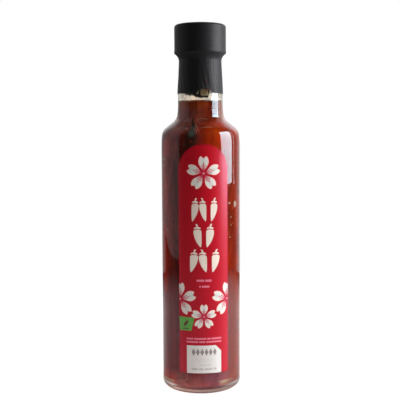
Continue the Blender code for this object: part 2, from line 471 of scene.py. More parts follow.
def shrunk_film_tree():
    """Gives a turned film its upright pleats, an uneven lower edge and a gap torn in it."""
    tree, given, out = geometry_group(
        "Shrunk Film",
        Geometry="Geometry",
        Pleat_Depth=0.4 * MM,
        Pleats=260.0,
        Lean=16.0,
        Edge_Height=180.0 * MM,
        Edge_Reach=6.0 * MM,
        Ragged=0.8 * MM,
        Head_Height=200.0 * MM,
        Notch=1.6 * MM,
        Notch_Bearing=0.15,
        Notch_Reach=0.3,
    )
    place = result(tree, "GeometryNodeInputPosition")
    x, y, z = axes(tree, place)
    above_edge = maths(tree, "SUBTRACT", z, given["Edge Height"])
    lean = maths(tree, "MULTIPLY", above_edge, given["Lean"])
    leaning = result(tree, "ShaderNodeVectorRotate", Vector=place, Angle=lean, rotation_type="Z_AXIS")
    upright = vectors(tree, "MULTIPLY", leaning, (1.0, 1.0, 0.05))

    pleat = noise(tree, upright, given["Pleats"], 3.0, 0.55)
    below_head = maths(tree, "SUBTRACT", given["Head Height"], z)
    on_skirt = by(tree, below_head, 6.0 * MM, 24.0 * MM, 0.06, 1.0)
    depth = product(tree, maths(tree, "SUBTRACT", pleat, 0.5), given["Pleat Depth"], on_skirt)
    outward = vectors(tree, "NORMALIZE", vectors(tree, "MULTIPLY", place, (1.0, 1.0, 0.0)))
    push = scaled(tree, outward, depth)

    bite = noise(tree, upright, 330.0, 5.0, 0.75)
    bite = maths(tree, "MAXIMUM", maths(tree, "SUBTRACT", bite, 0.42), 0.0)
    bite = maths(tree, "MULTIPLY", bite, given["Ragged"])
    bearing = maths(tree, "ARCTAN2", x, maths(tree, "MULTIPLY", y, -1.0))
    aside = maths(tree, "ABSOLUTE", maths(tree, "SUBTRACT", bearing, given["Notch Bearing"]))
    full_notch = maths(tree, "MULTIPLY", given["Notch Reach"], 0.65)
    torn = by(tree, aside, given["Notch Reach"], full_notch, 0.0, given["Notch"])
    near_edge = by(tree, above_edge, 0.0, given["Edge Reach"], 1.0, 0.0, kind="LINEAR")
    lift = maths(tree, "MULTIPLY", maths(tree, "ADD", bite, torn), near_edge)
    offset = vectors(tree, "ADD", push, result(tree, "ShaderNodeCombineXYZ", Z=lift))
    moved = result(tree, "GeometryNodeSetPosition", Geometry=given["Geometry"], Offset=offset)
    return end_tree(tree, given, out, moved)


def strand_tree():
    """Makes a tapered, slightly wavy strand along a line of points."""
    tree, given, out = geometry_group(
        "Tapered Strand",
        Path="Geometry",
        Points=24,
        Sides=10,
        Start_Radius=1.0 * MM,
        Middle_Radius=1.0 * MM,
        End_Radius=0.2 * MM,
        Waviness=0.0,
    )
    middle = 0.4  # share of the length where the middle radius is
    curve = result(tree, "GeometryNodeMeshToCurve", given["Path"])
    smooth = result(tree, "GeometryNodeCurveSplineType", Curve=curve, spline_type="CATMULL_ROM")
    spaced = result(tree, "GeometryNodeResampleCurve", Curve=smooth, Count=given["Points"])
    wave = noise(tree, result(tree, "GeometryNodeInputPosition"), 260.0, output=1)
    wave = scaled(tree, vectors(tree, "SUBTRACT", wave, (0.5, 0.5, 0.5)), given["Waviness"])
    bent = result(tree, "GeometryNodeSetPosition", Geometry=spaced, Offset=wave)
    along = node(tree, "GeometryNodeSplineParameter").outputs["Factor"]
    start = by(tree, along, 0.0, middle, given["Start Radius"], given["Middle Radius"])
    last = maths(tree, "POWER", by(tree, along, middle, 1.0, kind="LINEAR"), 2.0)
    fall = maths(tree, "SUBTRACT", given["End Radius"], given["Middle Radius"])
    radius = maths(tree, "MULTIPLY_ADD", last, fall, start)
    circle = result(tree, "GeometryNodeCurvePrimitiveCircle", Resolution=given["Sides"], Radius=1.0)
    tube = result(
        tree, "GeometryNodeCurveToMesh", Curve=bent, Profile_Curve=circle, Scale=radius, Fill_Caps=True
    )
    return end_tree(tree, given, out, tube)


def petal_ring_tree():
    """Repeats one petal, drawn in the XZ plane pointing up, round the middle of a blossom."""
    tree, given, out = geometry_group("Petal Ring", Petal="Geometry", Petals=5)
    line = result(tree, "GeometryNodeMeshLine", Count=given["Petals"], Offset=(0, 0, 0))
    step = maths(tree, "DIVIDE", math.tau, given["Petals"])
    turn = maths(tree, "MULTIPLY", result(tree, "GeometryNodeInputIndex"), step)
    rotation = result(tree, "ShaderNodeCombineXYZ", Y=turn)
    ring = result(
        tree, "GeometryNodeInstanceOnPoints", Points=line, Instance=given["Petal"], Rotation=rotation
    )
    return end_tree(tree, given, out, ring)


def wall_scatter_tree():
    """Scatters small bits over a wall of sauce, flat against it, each turned and sized at random."""
    tree, given, out = geometry_group(
        "Wall Scatter",
        Wall="Geometry",
        Bit="Object",
        Density=10000.0,
        Seed=1,
        Smallest=0.5,
        Largest=1.2,
    )
    seed = given["Seed"]
    points = node(
        tree, "GeometryNodeDistributePointsOnFaces", Mesh=given["Wall"], Density=given["Density"], Seed=seed
    ).outputs
    spin = node(tree, "FunctionNodeRandomValue", Max=math.tau, Seed=seed, data_type="FLOAT").outputs["Value"]
    turn = result(tree, "FunctionNodeAxisAngleToRotation", Axis=(0.0, 0.0, 1.0), Angle=spin)
    turned_there = result(
        tree,
        "FunctionNodeRotateRotation",
        Rotation=points["Rotation"],
        Rotate_By=turn,
        rotation_space="LOCAL",
    )
    size = node(
        tree,
        "FunctionNodeRandomValue",
        Min=given["Smallest"],
        Max=given["Largest"],
        Seed=whole(tree, "ADD", seed, 7),
        data_type="FLOAT",
    ).outputs["Value"]
    bit = node(tree, "GeometryNodeObjectInfo", Object=given["Bit"]).outputs["Geometry"]
    scattered = result(
        tree,
        "GeometryNodeInstanceOnPoints",
        Points=points["Points"],
        Instance=bit,
        Rotation=turned_there,
        Scale=size,
    )
    return end_tree(tree, given, out, scattered)


# Shader node groups


def paper_grain_group():
    """Fine fibres in printed paper: a tone that multiplies the ink's colour, and a normal."""
    tree, given, out = new_group(
        "Shader",
        "Paper Grain",
        {"Color": "Color", "Variation": 0.12, "Relief": 0.15},
        {"Color": "Color", "Roughness": "Float", "Normal": "Vector"},
    )
    place = object_place(tree)
    fibres = noise(tree, place, 2600.0, 4.0, 0.7)
    both = maths(tree, "MULTIPLY_ADD", noise(tree, place, 240.0), 0.6, maths(tree, "MULTIPLY", fibres, 0.4))
    tone = maths(tree, "MULTIPLY_ADD", maths(tree, "SUBTRACT", both, 0.5), given["Variation"], 1.0)
    connect(
        tree,
        out,
        Color=scaled(tree, given["Color"], tone),
        Roughness=maths(tree, "MULTIPLY_ADD", fibres, 0.12, 0.25),
        Normal=bump(tree, fibres, given["Relief"], 0.02 * MM),
    )
    return tree


def mottle_group():
    """Cloudy mottling of a thick liquid or a soft skin, from 0 to 1."""
    tree, given, out = new_group(
        "Shader",
        "Liquid Mottle",
        {"Scale": 120.0, "Stretch": 0.5, "Contrast": 2.0},
        {"Mask": "Float", "Fine": "Float"},
    )
    squeeze = result(tree, "ShaderNodeCombineXYZ", 1.0, 1.0, given["Stretch"])
    place = vectors(tree, "MULTIPLY", object_place(tree), squeeze)
    clouds = noise(tree, place, given["Scale"], 5.0, 0.6, 0.6)
    clouds = maths(tree, "SUBTRACT", clouds, 0.5)
    connect(
        tree,
        out,
        Mask=maths(tree, "MULTIPLY_ADD", clouds, given["Contrast"], 0.5, clamp=True),
        Fine=noise(tree, place, maths(tree, "MULTIPLY", given["Scale"], 7.0), 3.0),
    )
    return tree


def near_line_group():
    """A soft mask round the straight line between two points, from 1 at it to 0 further off."""
    tree, given, out = new_group(
        "Shader",
        "Near Line",
        {
            "Start": "Vector",
            "End": "Vector",
            "Inner": 1.0 * MM,
            "Outer": 5.0 * MM,
            "Unevenness": 2.0 * MM,
        },
        {"Mask": "Float"},
    )
    place = object_place(tree)
    run = vectors(tree, "SUBTRACT", given["End"], given["Start"])
    to_place = vectors(tree, "SUBTRACT", place, given["Start"])
    onto = vectors(tree, "DOT_PRODUCT", to_place, run)
    share = maths(tree, "DIVIDE", onto, vectors(tree, "DOT_PRODUCT", run, run), clamp=True)
    gap = vectors(tree, "DISTANCE", to_place, scaled(tree, run, share))
    uneven = maths(tree, "SUBTRACT", noise(tree, place, 260.0, 3.0), 0.5)
    gap = maths(tree, "MULTIPLY_ADD", uneven, given["Unevenness"], gap)
    connect(tree, out, Mask=by(tree, gap, given["Inner"], given["Outer"], 1.0, 0.0))
    return tree


MAKERS = {
    "Turned Piece": turning_tree,
    "Shrunk Film": shrunk_film_tree,
    "Tapered Strand": strand_tree,
    "Petal Ring": petal_ring_tree,
    "Wall Scatter": wall_scatter_tree,
    "Paper Grain": paper_grain_group,
    "Liquid Mottle": mottle_group,
    "Near Line": near_line_group,
}


def group(name):
    """The node group of this name, built the first time that it is asked for."""
    return bpy.data.node_groups.get(name) or MAKERS[name]()


def shared(tree, name, **values):
    """Place a shader group in a tree, and give back its outputs."""
    return node(tree, "ShaderNodeGroup", node_tree=group(name), **values).outputs


def mottle(tree, scale, stretch, contrast=3.0):
    return shared(tree, "Liquid Mottle", Scale=scale, Stretch=stretch, Contrast=contrast)


def near_line(tree, ends, inner, outer, unevenness):
    """The mask round a line between two points, with its reaches in millimetres."""
    return shared(
        tree,
        "Near Line",
        Start=ends[0],
        End=ends[1],
        Inner=inner * MM,
        Outer=outer * MM,
        Unevenness=unevenness * MM,
    )["Mask"]


# Materials

# Where the chilli lies, its visible top and the bright streak, as (bearing in degrees, height in mm)
CHILLI_PATH = ((-14.0, 163.2), (-14.5, 158.0), (-17.0, 150.0), (-19.0, 141.0), (-18.0, 130.0))
CHILLI_TOP = ((-13.2, 163.0), (-14.2, 159.8))
STREAK_PATH = ((-68.0, 101.0), (-69.0, 64.0))
CHILLI_SHADE_DEPTH = 1.5 * MM  # how deep the line lies that the sauce's shade follows
CHILLI_SHADES = (3.6, 5.6, 6.8, 6.0)  # how far the shade reaches round each part, in mm


def new_material(name):
    made = bpy.data.materials.new(name)
    made.use_nodes = True
    return made, made.node_tree


def paint(material, **values):
    """Set or link the inputs of a material's Principled shader."""
    tree = material.node_tree
    connect(tree, tree.nodes["Principled BSDF"].inputs, **values)
    return material


def glass_material(settings):
    """Clear glass that is worn and warmer at the heel."""
    made, tree = new_material("Clear Glass")
    place = object_place(tree)
    height = axes(tree, place)[2]
    heel = settings.heel_height
    waves = noise(tree, stretched(tree, place, (1.0, 1.0, 0.3)), 60.0)
    marks = noise(tree, place, 300.0, 5.0)
    worn = by(tree, height, 0.5 * heel, 1.6 * heel, 0.30, 0.005)
    clear = by(tree, height, 0.55 * heel, 1.15 * heel)
    return paint(
        made,
        Transmission_Weight=1.0,
        IOR=1.5,
        Specular_Tint=(0.66, 0.95, 1.0),
        Base_Color=mix(tree, clear, settings.heel_tint, settings.tint),
        Roughness=maths(tree, "MULTIPLY_ADD", marks, 0.02, worn),
        Normal=bump(tree, waves, 0.25, 0.4 * MM),
    )


def sauce_material(glass, settings):
    """Thick sauce with painted light and shade: painted shade makes it duller at the left, a painted glow
    brighter at the right, painted light and shade change it low down, and it is dull in the neck with painted
    light and shade there.
    """
    made, tree = new_material("Hot Sauce")
    clouds = mottle(tree, 60.0, 0.3)
    grains = mottle(tree, 420.0, 0.5, 3.5)
    uneven = maths(tree, "MULTIPLY_ADD", clouds["Mask"], 0.65, maths(tree, "MULTIPLY", grains["Mask"], 0.35))
    uneven = maths(tree, "MULTIPLY", maths(tree, "SUBTRACT", uneven, 0.5), 0.8)
    right, _, height = axes(tree, scaled(tree, object_place(tree), 1 / MM))  # in millimetres

    def past(value, start, end, low=0.0, high=1.0):
        return by(tree, value, start, end, low, high)

    def cloudy(mask):
        return maths(tree, "ADD", mask, uneven, clamp=True)

    def leaning(slope):
        return maths(tree, "MULTIPLY_ADD", right, slope, height)

    # Painted shade at the left, with a painted glow at the far left edge and at the right.
    high = mix(tree, cloudy(past(right, -15, -23)), settings.dark, settings.edge)
    high = mix(tree, cloudy(past(right, -16, 14)), high, settings.bright)
    # Painted light low at the left, painted shade and a painted mauve reflection low at the right.
    low = mix(tree, cloudy(past(right, -8, 16)), settings.low_left, settings.low_right)
    # Painted light just above the base.
    foot = mix(tree, cloudy(past(right, -19, -13)), settings.foot_left, settings.foot_middle)
    foot = mix(tree, cloudy(past(right, -8, 6)), foot, settings.foot)
    # Painted light and shade in the neck.
    neck = mix(tree, past(height, 173, 178), settings.neck_left, settings.neck_top)
    neck = mix(tree, cloudy(past(right, -9, 7)), neck, settings.neck_right)
    neck = mix(tree, past(right, 8.2, 10.2), neck, settings.neck_edge)

    # Painted reflection at the two sides of the base's corner.
    sides = maths(tree, "ADD", past(right, -14, -18), past(right, 9, 14))
    floor = leaning(-0.028)
    corner = product(tree, past(floor, 8.1, 7.3), past(floor, 5.6, 6.4, 0.45, 1.0))
    # Painted glow at the right of the shoulder.
    in_shoulder = product(tree, past(height, 138, 150), past(right, -8, 6), past(right, 16, 10))
    in_shoulder = maths(tree, "SUBTRACT", in_shoulder, 0.12)
    # Painted shade along the far right of the body.
    at_right = product(tree, past(right, 11, 20), past(height, 161, 155))
    # Lays the painted light and shade below over each other by height and place.
    coloured = low
    for mask, over in (
        (cloudy(past(height, 60, 78)), high),
        (cloudy(past(height, 16, 9)), foot),
        (product(tree, sides, corner), settings.base),
        (cloudy(in_shoulder), settings.shoulder),
        (past(leaning(-0.3), 161, 167), neck),
        (at_right, settings.far_right),
    ):
        coloured = mix(tree, mask, coloured, over)

    streaks = mottle(tree, 150.0, 0.22, 3.6)["Mask"]
    tone = mix(tree, streaks, (0.66, 0.60, 0.58), (1.34, 1.34, 1.25))
    tone = mix(tree, past(height, 85, 60, 0.0, 0.5), tone, (1.0, 1.0, 1.0))
    coloured = vectors(tree, "MULTIPLY", coloured, tone)

    def ends(path, depth=0.0):
        return [at_wall(glass, settings.reach - depth, *point) for point in path]

    body = ends(CHILLI_PATH, CHILLI_SHADE_DEPTH)
    shade = 0.0
    for first, second, reach in zip(body, body[1:], CHILLI_SHADES):
        shade = maths(tree, "MAXIMUM", shade, near_line(tree, (first, second), 1.6, reach, 2.5))
    for mask, over in (
        (near_line(tree, ends(STREAK_PATH), 0.8, 4.4, 3.0), settings.glow),
        (maths(tree, "MULTIPLY", shade, 0.93), settings.shade),
        (near_line(tree, ends(CHILLI_TOP), 0.5, 2.9, 1.6), settings.skin),
    ):
        coloured = mix(tree, mask, coloured, over)

    return paint(
        made,
        IOR=1.38,
        Specular_IOR_Level=0.03,
        Subsurface_Weight=0.6,
        Subsurface_Radius=(1.0, 0.22, 0.08),
        Subsurface_Scale=1.8 * MM,
        Base_Color=coloured,
        Roughness=maths(tree, "MULTIPLY_ADD", clouds["Fine"], 0.3, 0.3),
    )


def film_material(settings):
    """The thin cream film that the sauce leaves on the glass above its level."""
    made, tree = new_material("Oil Film")
    clouds = mottle(tree, 380.0, 1.0)["Mask"]
    pale = tuple(part**0.5 for part in settings.oil)
    return paint(
        made,
        Transmission_Weight=1.0,
        IOR=1.4,
        Base_Color=mix(tree, clouds, settings.oil, pale),
        Roughness=maths(tree, "MULTIPLY_ADD", clouds, 0.25, 0.15),
    )


def bit_material(name, dark, bright, scale=400.0, roughness=0.4):
    """A soft wet bit of plant: mottled between two colours."""
    made, tree = new_material(name)
    clouds = mottle(tree, scale, 0.5)
    return paint(
        made,
        Subsurface_Weight=0.3,
        Subsurface_Scale=0.6 * MM,
        Specular_IOR_Level=0.08,
        Base_Color=mix(tree, clouds["Mask"], dark, bright),
        Roughness=maths(tree, "MULTIPLY_ADD", clouds["Fine"], 0.2, roughness - 0.1),
        Normal=bump(tree, clouds["Fine"], 0.4, 0.1 * MM),
    )


def capsule_material(settings):
    """Matt black film, with fine level lines round the head and upright creases in the skirt."""
    made, tree = new_material("Black Capsule")
    place = object_place(tree)
    height = axes(tree, place)[2]
    lip = settings.lip_height
    on_head = by(tree, height, lip - 6 * MM, lip, kind="LINEAR")
    creases = noise(tree, stretched(tree, place, (1.0, 1.0, 0.06)), 700.0, 4.0, 0.6)
    lines = noise(tree, stretched(tree, place, (0.05, 0.05, 1.0)), 900.0, 3.0, 0.6)
    relief = mix(tree, on_head, creases, lines, kind="FLOAT")
    grain = noise(tree, place, 2200.0, 3.0)
    worn = tuple(min(1.0, 2.2 * part) for part in settings.black)
    under_lip = by(tree, height, settings.waist_height, lip - 1.5 * MM, 0.0, 0.45)
    under_lip = product(tree, under_lip, maths(tree, "LESS_THAN", height, lip - 0.6 * MM))
    rough = maths(tree, "MULTIPLY_ADD", grain, 0.2, 0.40)
    return paint(
        made,
        Specular_IOR_Level=0.19,
        Specular_Tint=(1.0, 0.90, 0.88),
        Sheen_Weight=0.07,
        Base_Color=mix(tree, relief, settings.black, worn),
        Roughness=maths(tree, "ADD", rough, under_lip),
        Normal=bump(tree, maths(tree, "MULTIPLY_ADD", grain, 0.15, relief), 0.8, 0.25 * MM),
    )


def on_paper(material, ink, variation=0.12, **values):
    """Finish a printed material, with its colour over the paper's grain."""
    grain = shared(material.node_tree, "Paper Grain", Color=ink, Variation=variation)
    return paint(
        material,
        Base_Color=grain["Color"],
        Roughness=grain["Roughness"],
        Normal=grain["Normal"],
        **values,
    )


def ink_material(name, ink, variation=0.12):
    """Plain printed paper in one colour."""
    made, _ = new_material(name)
    return on_paper(made, ink, variation, Specular_IOR_Level=0.54, Specular_Tint=(1.0, 0.74, 1.0))


def petal_material(settings):
    """Pale petals with a pink rim and veins at their root; UV is (across, along) a petal."""
    made, tree = new_material("Petal Print")
    side, along, _ = axes(tree, result(tree, "ShaderNodeUVMap", uv_map="Petal"))
    across = maths(tree, "ABSOLUTE", side)

    def cream(*shades):
        return tuple(part * shade for part, shade in zip(settings.cream, shades))

    rim = maths(tree, "MAXIMUM", by(tree, across, 0.60, 0.95), by(tree, along, 0.84, 0.97))
    ground = mix(tree, rim, cream(0.86, 0.98, 1.06), cream(1.16, 0.88, 0.92))
    middle = maths(tree, "MULTIPLY", by(tree, across, 0.45, 0.1), 0.7)
    wash = maths(tree, "MULTIPLY", mottle(tree, 700.0, 1.0)["Mask"], middle)
    ground = mix(tree, wash, ground, cream(0.62, 0.72, 0.78))
    spread = maths(tree, "MAXIMUM", maths(tree, "MULTIPLY", along, 1.9), 0.2)
    waves = maths(tree, "COSINE", maths(tree, "MULTIPLY", maths(tree, "DIVIDE", side, spread), 15.0))
    root = by(tree, along, 0.28, 0.56, 1.0, 0.0)
    veins = product(tree, by(tree, waves, 0.35, 0.85, kind="LINEAR"), root, 0.85)
    blush = maths(tree, "MULTIPLY", root, 0.3)
    coloured = mix(tree, maths(tree, "MAXIMUM", veins, blush), ground, settings.pink)
    return on_paper(made, coloured, 0.08, Specular_IOR_Level=0.32)


# Making and placing pieces


def put_in_scene(name, data):
    made = bpy.data.objects.new(name, data)
    bpy.context.scene.collection.objects.link(made)
    return made


def add_piece(name, mesh, slot, *replaced):
    """Put a finished mesh in the scene as a piece that rides on the bottle."""
    piece = put_in_scene(name, mesh)
    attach(piece, "root")
    if replaced:
        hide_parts(*replaced)


def run_tree(name, mesh, tree_name, **values):
    """Put a mesh through a geometry tree and give back the plain mesh that comes out."""
    carrier = put_in_scene(name + "_draft", mesh)
    modifier = carrier.modifiers.new(tree_name, "NODES")
    modifier.node_group = group(tree_name)
    for socket in modifier.node_group.interface.items_tree:
        label = socket.name.replace(" ", "_").lower()
        if socket.in_out == "INPUT" and label in values:
            modifier[socket.identifier] = values[label]
    graph = bpy.context.evaluated_depsgraph_get()
    made = bpy.data.meshes.new_from_object(carrier.evaluated_get(graph))
    carrier.modifiers.remove(modifier)
    bpy.data.objects.remove(carrier)
    made.name = name
    return made


def to_mesh(name, shape):
    """A new mesh of a bmesh, which is freed."""
    mesh = bpy.data.meshes.new(name)
    shape.to_mesh(mesh)
    shape.free()
    return mesh


def joined(name, meshes, material):
    """One mesh made of several, which are used up."""
    shape = bmesh.new()
    for mesh in meshes:
        shape.from_mesh(mesh)
        bpy.data.meshes.remove(mesh)
    mesh = to_mesh(name, shape)
    mesh.materials.append(material)
    return mesh


def close_and_smooth(mesh, degrees=35):
    """Merge doubles, turn the faces out, and shade smooth except at sharp edges."""
    shape = bmesh.new()
    shape.from_mesh(mesh)
    bmesh.ops.remove_doubles(shape, verts=shape.verts, dist=TOUCHING)
    bmesh.ops.recalc_face_normals(shape, faces=shape.faces)
    shape.to_mesh(mesh)
    shape.free()
    mesh.shade_smooth()
    mesh.set_sharp_from_angle(angle=math.radians(degrees))
    return mesh


def line_mesh(name, points):
    """A mesh of points joined in a line, for a tree to follow."""
    mesh = bpy.data.meshes.new(name)
    mesh.from_pydata([tuple(point) for point in points], [(i, i + 1) for i in range(len(points) - 1)], [])
    return mesh


def turned_raw(name, profile, sides, material):
    line = line_mesh(name + "_profile", [(radius, 0, height) for radius, height in profile])
    return run_tree(name, line, "Turned Piece", sides=sides, material=material)


def turned(name, profile, sides, material):
    """A piece turned from a profile of (radius, height) points."""
    return close_and_smooth(turned_raw(name, profile, sides, material))


def flat_shape(outlines):
    """A bmesh of flat triangles from closed outlines of (across, height) points."""
    shape = bmesh.new()
    for outline in outlines:
        shape.faces.new([shape.verts.new((across, 0, height)) for across, height in outline])
    bmesh.ops.triangulate(shape, faces=shape.faces)
    return shape


def bisect(shape, across, **options):
    everything = shape.verts[:] + shape.edges[:] + shape.faces[:]
    bmesh.ops.bisect_plane(shape, geom=everything, plane_co=(across, 0, 0), **options)


def clip(shape, half_width):
    """Cut a flat shape off at the label's two sides."""
    for side in (-1, 1):
        bisect(shape, side * half_width, plane_no=(side, 0, 0), clear_outer=True)


def cut_in_strips(shape):
    """Cut a flat shape along upright lines, so that it can bend round the bottle."""
    low = min(corner.co.x for corner in shape.verts)
    high = max(corner.co.x for corner in shape.verts)
    step = math.ceil(low / STRIP_WIDTH)
    while step * STRIP_WIDTH < high:
        bisect(shape, step * STRIP_WIDTH, plane_no=(1, 0, 0), dist=0.01 * MM)
        step += 1


def wrap(name, shape, start, thickness, material, body_radius, turn=0.0):
    """Thicken a flat shape and bend it round the bottle, from a radius outwards.

    Its widths are measured at the body's radius.
    """
    cut_in_strips(shape)
    flat = bmesh.ops.extrude_face_region(shape, geom=shape.faces[:], use_keep_orig=True)
    raised = [item for item in flat["geom"] if isinstance(item, bmesh.types.BMVert)]
    bmesh.ops.translate(shape, verts=raised, vec=(0, -thickness, 0))
    for corner in shape.verts:
        across, depth, height = corner.co
        bearing = across / body_radius + turn
        radius = start - depth
        corner.co = (radius * math.sin(bearing), -radius * math.cos(bearing), height)
    mesh = to_mesh(name, shape)
    mesh.materials.append(material)
    return close_and_smooth(mesh)


def print_shape(context, name, shape, material, layer=1):
    """Wrap a flat shape onto the label's face, in its first or second layer of ink."""
    label = context.scene.bottle_label
    radius = context.scene.bottle_glass.radius
    clip(shape, label.width / 2)
    under = radius + label.lift + label.paper - label.ink
    mesh = wrap(name, shape, under, label.ink * (1 + layer), material, radius, label.turn)
    add_piece(name, mesh, "red_label")


def print_outlines(context, name, outlines, ink_name, ink, layer=1, variation=0.12):
    material = ink_material(ink_name, ink, variation)
    print_shape(context, name, flat_shape(outlines), material, layer)


def ribbon(steps, side_point):
    """A closed outline out along side_point(step, 1) and back along side_point(step, -1)."""
    outline = []
    for point in [side_point(step, 1) for step in steps] + [side_point(step, -1) for step in reversed(steps)]:
        if not outline or math.dist(point, outline[-1]) > TOUCHING:
            outline.append(point)
    if math.dist(outline[0], outline[-1]) < TOUCHING:
        outline.pop()
    return outline


# The glass, the sauce and the capsule

LIP_CHAMFER = 0.6 * MM
HEEL_STEPS = 12
PUSH_UP_STEPS = 8
MENISCUS_STEPS = 6
FILM_LOW = -0.3 * MM  # the oil film's two ends, from the sauce's level
FILM_HIGH = 8.5 * MM
FILM_STEPS = 12

# The residue's dark fringes: colours, depth, and the lower edge as (bearing in degrees, height in mm)
FRINGES = {
    "Residue": (
        ("Residue", (0.004, 0.004, 0.003), (0.030, 0.026, 0.020), 500.0),
        0.0,
        (
            (-23, 184.6),
            (-18, 182.8),
            (-12, 182.3),
            (-2, 182.2),
            (4, 182.1),
            (14, 182.2),
            (24, 182.5),
            (28, 184.9),
        ),
    ),
    "Residue_Grey": (
        ("Residue Grey", (0.060, 0.056, 0.048), (0.48, 0.46, 0.41), 420.0),
        0.12 * MM,
        ((-54, 184.6), (-46, 183.7), (-36, 183.6), (-26, 183.7), (-18, 183.2), (-12, 184.4)),
    ),
}
FRINGE_TOP = 189.0 * MM
FRINGE_STEP = 1.6  # degrees between two points of a ragged edge
FRINGE_DEPTH = 0.1 * MM
FRINGE_THICKNESS = 0.16 * MM
# Olive patches in the residue: left and right in degrees, low and high in mm
PATCHES = ((0.6, 24.5, 183.0, 188.8), (-12.0, -4.6, 184.0, 187.6))
PATCH_STEPS = 8

SKIRT_STEPS = 60
HEAD_STEPS = 8
CAPSULE_CORNER_STEPS = 10
# The hollow under the capsule's head: two handles and the end, as (radius, height)
FLARE = ((13.45 * MM, 207.4 * MM), (14.55 * MM, 208.7 * MM), (16.1 * MM, 209.7 * MM))
FLARE_STEPS = 12
LIP_STEPS = 4
FLECK_BEARING = 13.7  # degrees
FLECK_HEIGHT = 192.3 * MM
FLECK_RADIUS = 13.95 * MM


class BOTTLE_OT_glass(bpy.types.Operator):
    """Make the clear glass bottle"""

    bl_idname = "bottle.glass"
    bl_label = "Glass"

    def execute(self, context):
        glass = context.scene.bottle_glass
        capsule = context.scene.bottle_capsule
        hidden = capsule.waist_radius - 4 * capsule.film
        mouth = GLASS_HIGH[2]
        neck = (glass.neck, glass.neck_start)
        foot = glass.radius - glass.heel_width
        heel = quarter(
            (foot, glass.heel_height), (glass.heel_width, glass.heel_height), -math.pi / 2, HEEL_STEPS
        )
        outside = [
            (hidden - LIP_CHAMFER, mouth),
            (hidden, mouth - LIP_CHAMFER),
            (hidden, capsule.waist_height),
            (glass.neck - 3 * capsule.film, capsule.edge + 2.5 * MM),
            (glass.neck, capsule.edge + 1.0 * MM),
            neck,
            *shoulder_down(neck, SHOULDER_MIDDLE, (glass.radius, glass.shoulder_start)),
            *reversed(heel),
            (foot, 0),
            (glass.foot_inner, 0),
            *bezier(
                (glass.foot_inner, 0),
                (glass.foot_inner - 1.5 * MM, glass.push_up * 0.7),
                (0.5 * glass.foot_inner, glass.push_up),
                (0, glass.push_up),
                PUSH_UP_STEPS,
            ),
        ]
        profile = inner_profile(glass, 0.0) + [(glass.bore, mouth)] + outside
        mesh = turned("Glass", profile, glass.sides, glass_material(glass))
        add_piece("Glass", mesh, "clear_glass", "bottle_glass")
        return {"FINISHED"}


class BOTTLE_OT_sauce(bpy.types.Operator):
    """Fill the bottle with sauce"""

    bl_idname = "bottle.sauce"
    bl_label = "Sauce"

    def execute(self, context):
        glass = context.scene.bottle_glass
        sauce = context.scene.bottle_sauce
        bore = glass.bore + sauce.reach
        level = sauce.level
        brim = (bore, level + sauce.meniscus)
        meniscus = bezier(
            brim,
            (bore - 0.25 * MM, level + 0.1 * MM),
            (bore - 0.8 * MM, level),
            (bore - 2.0 * MM, level),
            MENISCUS_STEPS,
        )
        profile = inner_profile(glass, sauce.reach) + [brim] + meniscus + [(0, level)]
        mesh = turned("Sauce", profile, glass.sides, sauce_material(glass, sauce))
        add_piece("Sauce", mesh, "hot_sauce", "sauce")

        outside = [(bore, height) for height in even(level + FILM_LOW, level + FILM_HIGH, FILM_STEPS)]
        inside = [(bore - sauce.film - sauce.reach, height) for _, height in reversed(outside)]
        mesh = turned("Oil_Film", outside + inside + outside[:1], glass.sides, film_material(sauce))
        add_piece("Oil_Film", mesh, "hot_sauce")
        self.add_residue(bore)
        return {"FINISHED"}

    def add_residue(self, bore):
        """The dark ragged residue under the capsule's edge, grey at the left, with olive patches in it."""
        draw = random.Random(5)
        for name, (skin, inset, limits) in FRINGES.items():
            edge = []
            for (start, low), (end, next_low) in zip(limits, limits[1:]):
                for share in even(0, 1, max(2, round((end - start) / FRINGE_STEP)))[:-1]:
                    height = low + (next_low - low) * share + draw.uniform(-0.45, 0.30)
                    edge.append((math.radians(start + (end - start) * share) * bore, height * MM))
            edge.append((math.radians(limits[-1][0]) * bore, limits[-1][1] * MM))
            shape = flat_shape([edge + [(edge[-1][0], FRINGE_TOP), (edge[0][0], FRINGE_TOP)]])
            inner = bore - FRINGE_DEPTH - inset
            mesh = wrap(name, shape, inner, FRINGE_THICKNESS, bit_material(*skin), bore)
            add_piece(name, mesh, "hot_sauce")

        patches = []
        for left, right, low, high in PATCHES:
            patch = []
            for share in even(0, 1, PATCH_STEPS):
                bulge = math.sin(math.pi * min(share, 1 - share)) ** 0.5
                height = low + 0.5 * (1 - bulge) + draw.uniform(0, 0.35)
                patch.append((math.radians(left + (right - left) * share) * bore, height * MM))
            patches.append(patch + [(patch[-1][0], high * MM), (patch[0][0], high * MM)])
        olive = bit_material("Residue Olive", (0.32, 0.255, 0.13), (0.86, 0.70, 0.41), 420.0)
        mesh = wrap("Residue_Olive", flat_shape(patches), bore, 0.1 * MM, olive, bore)
        add_piece("Residue_Olive", mesh, "hot_sauce")


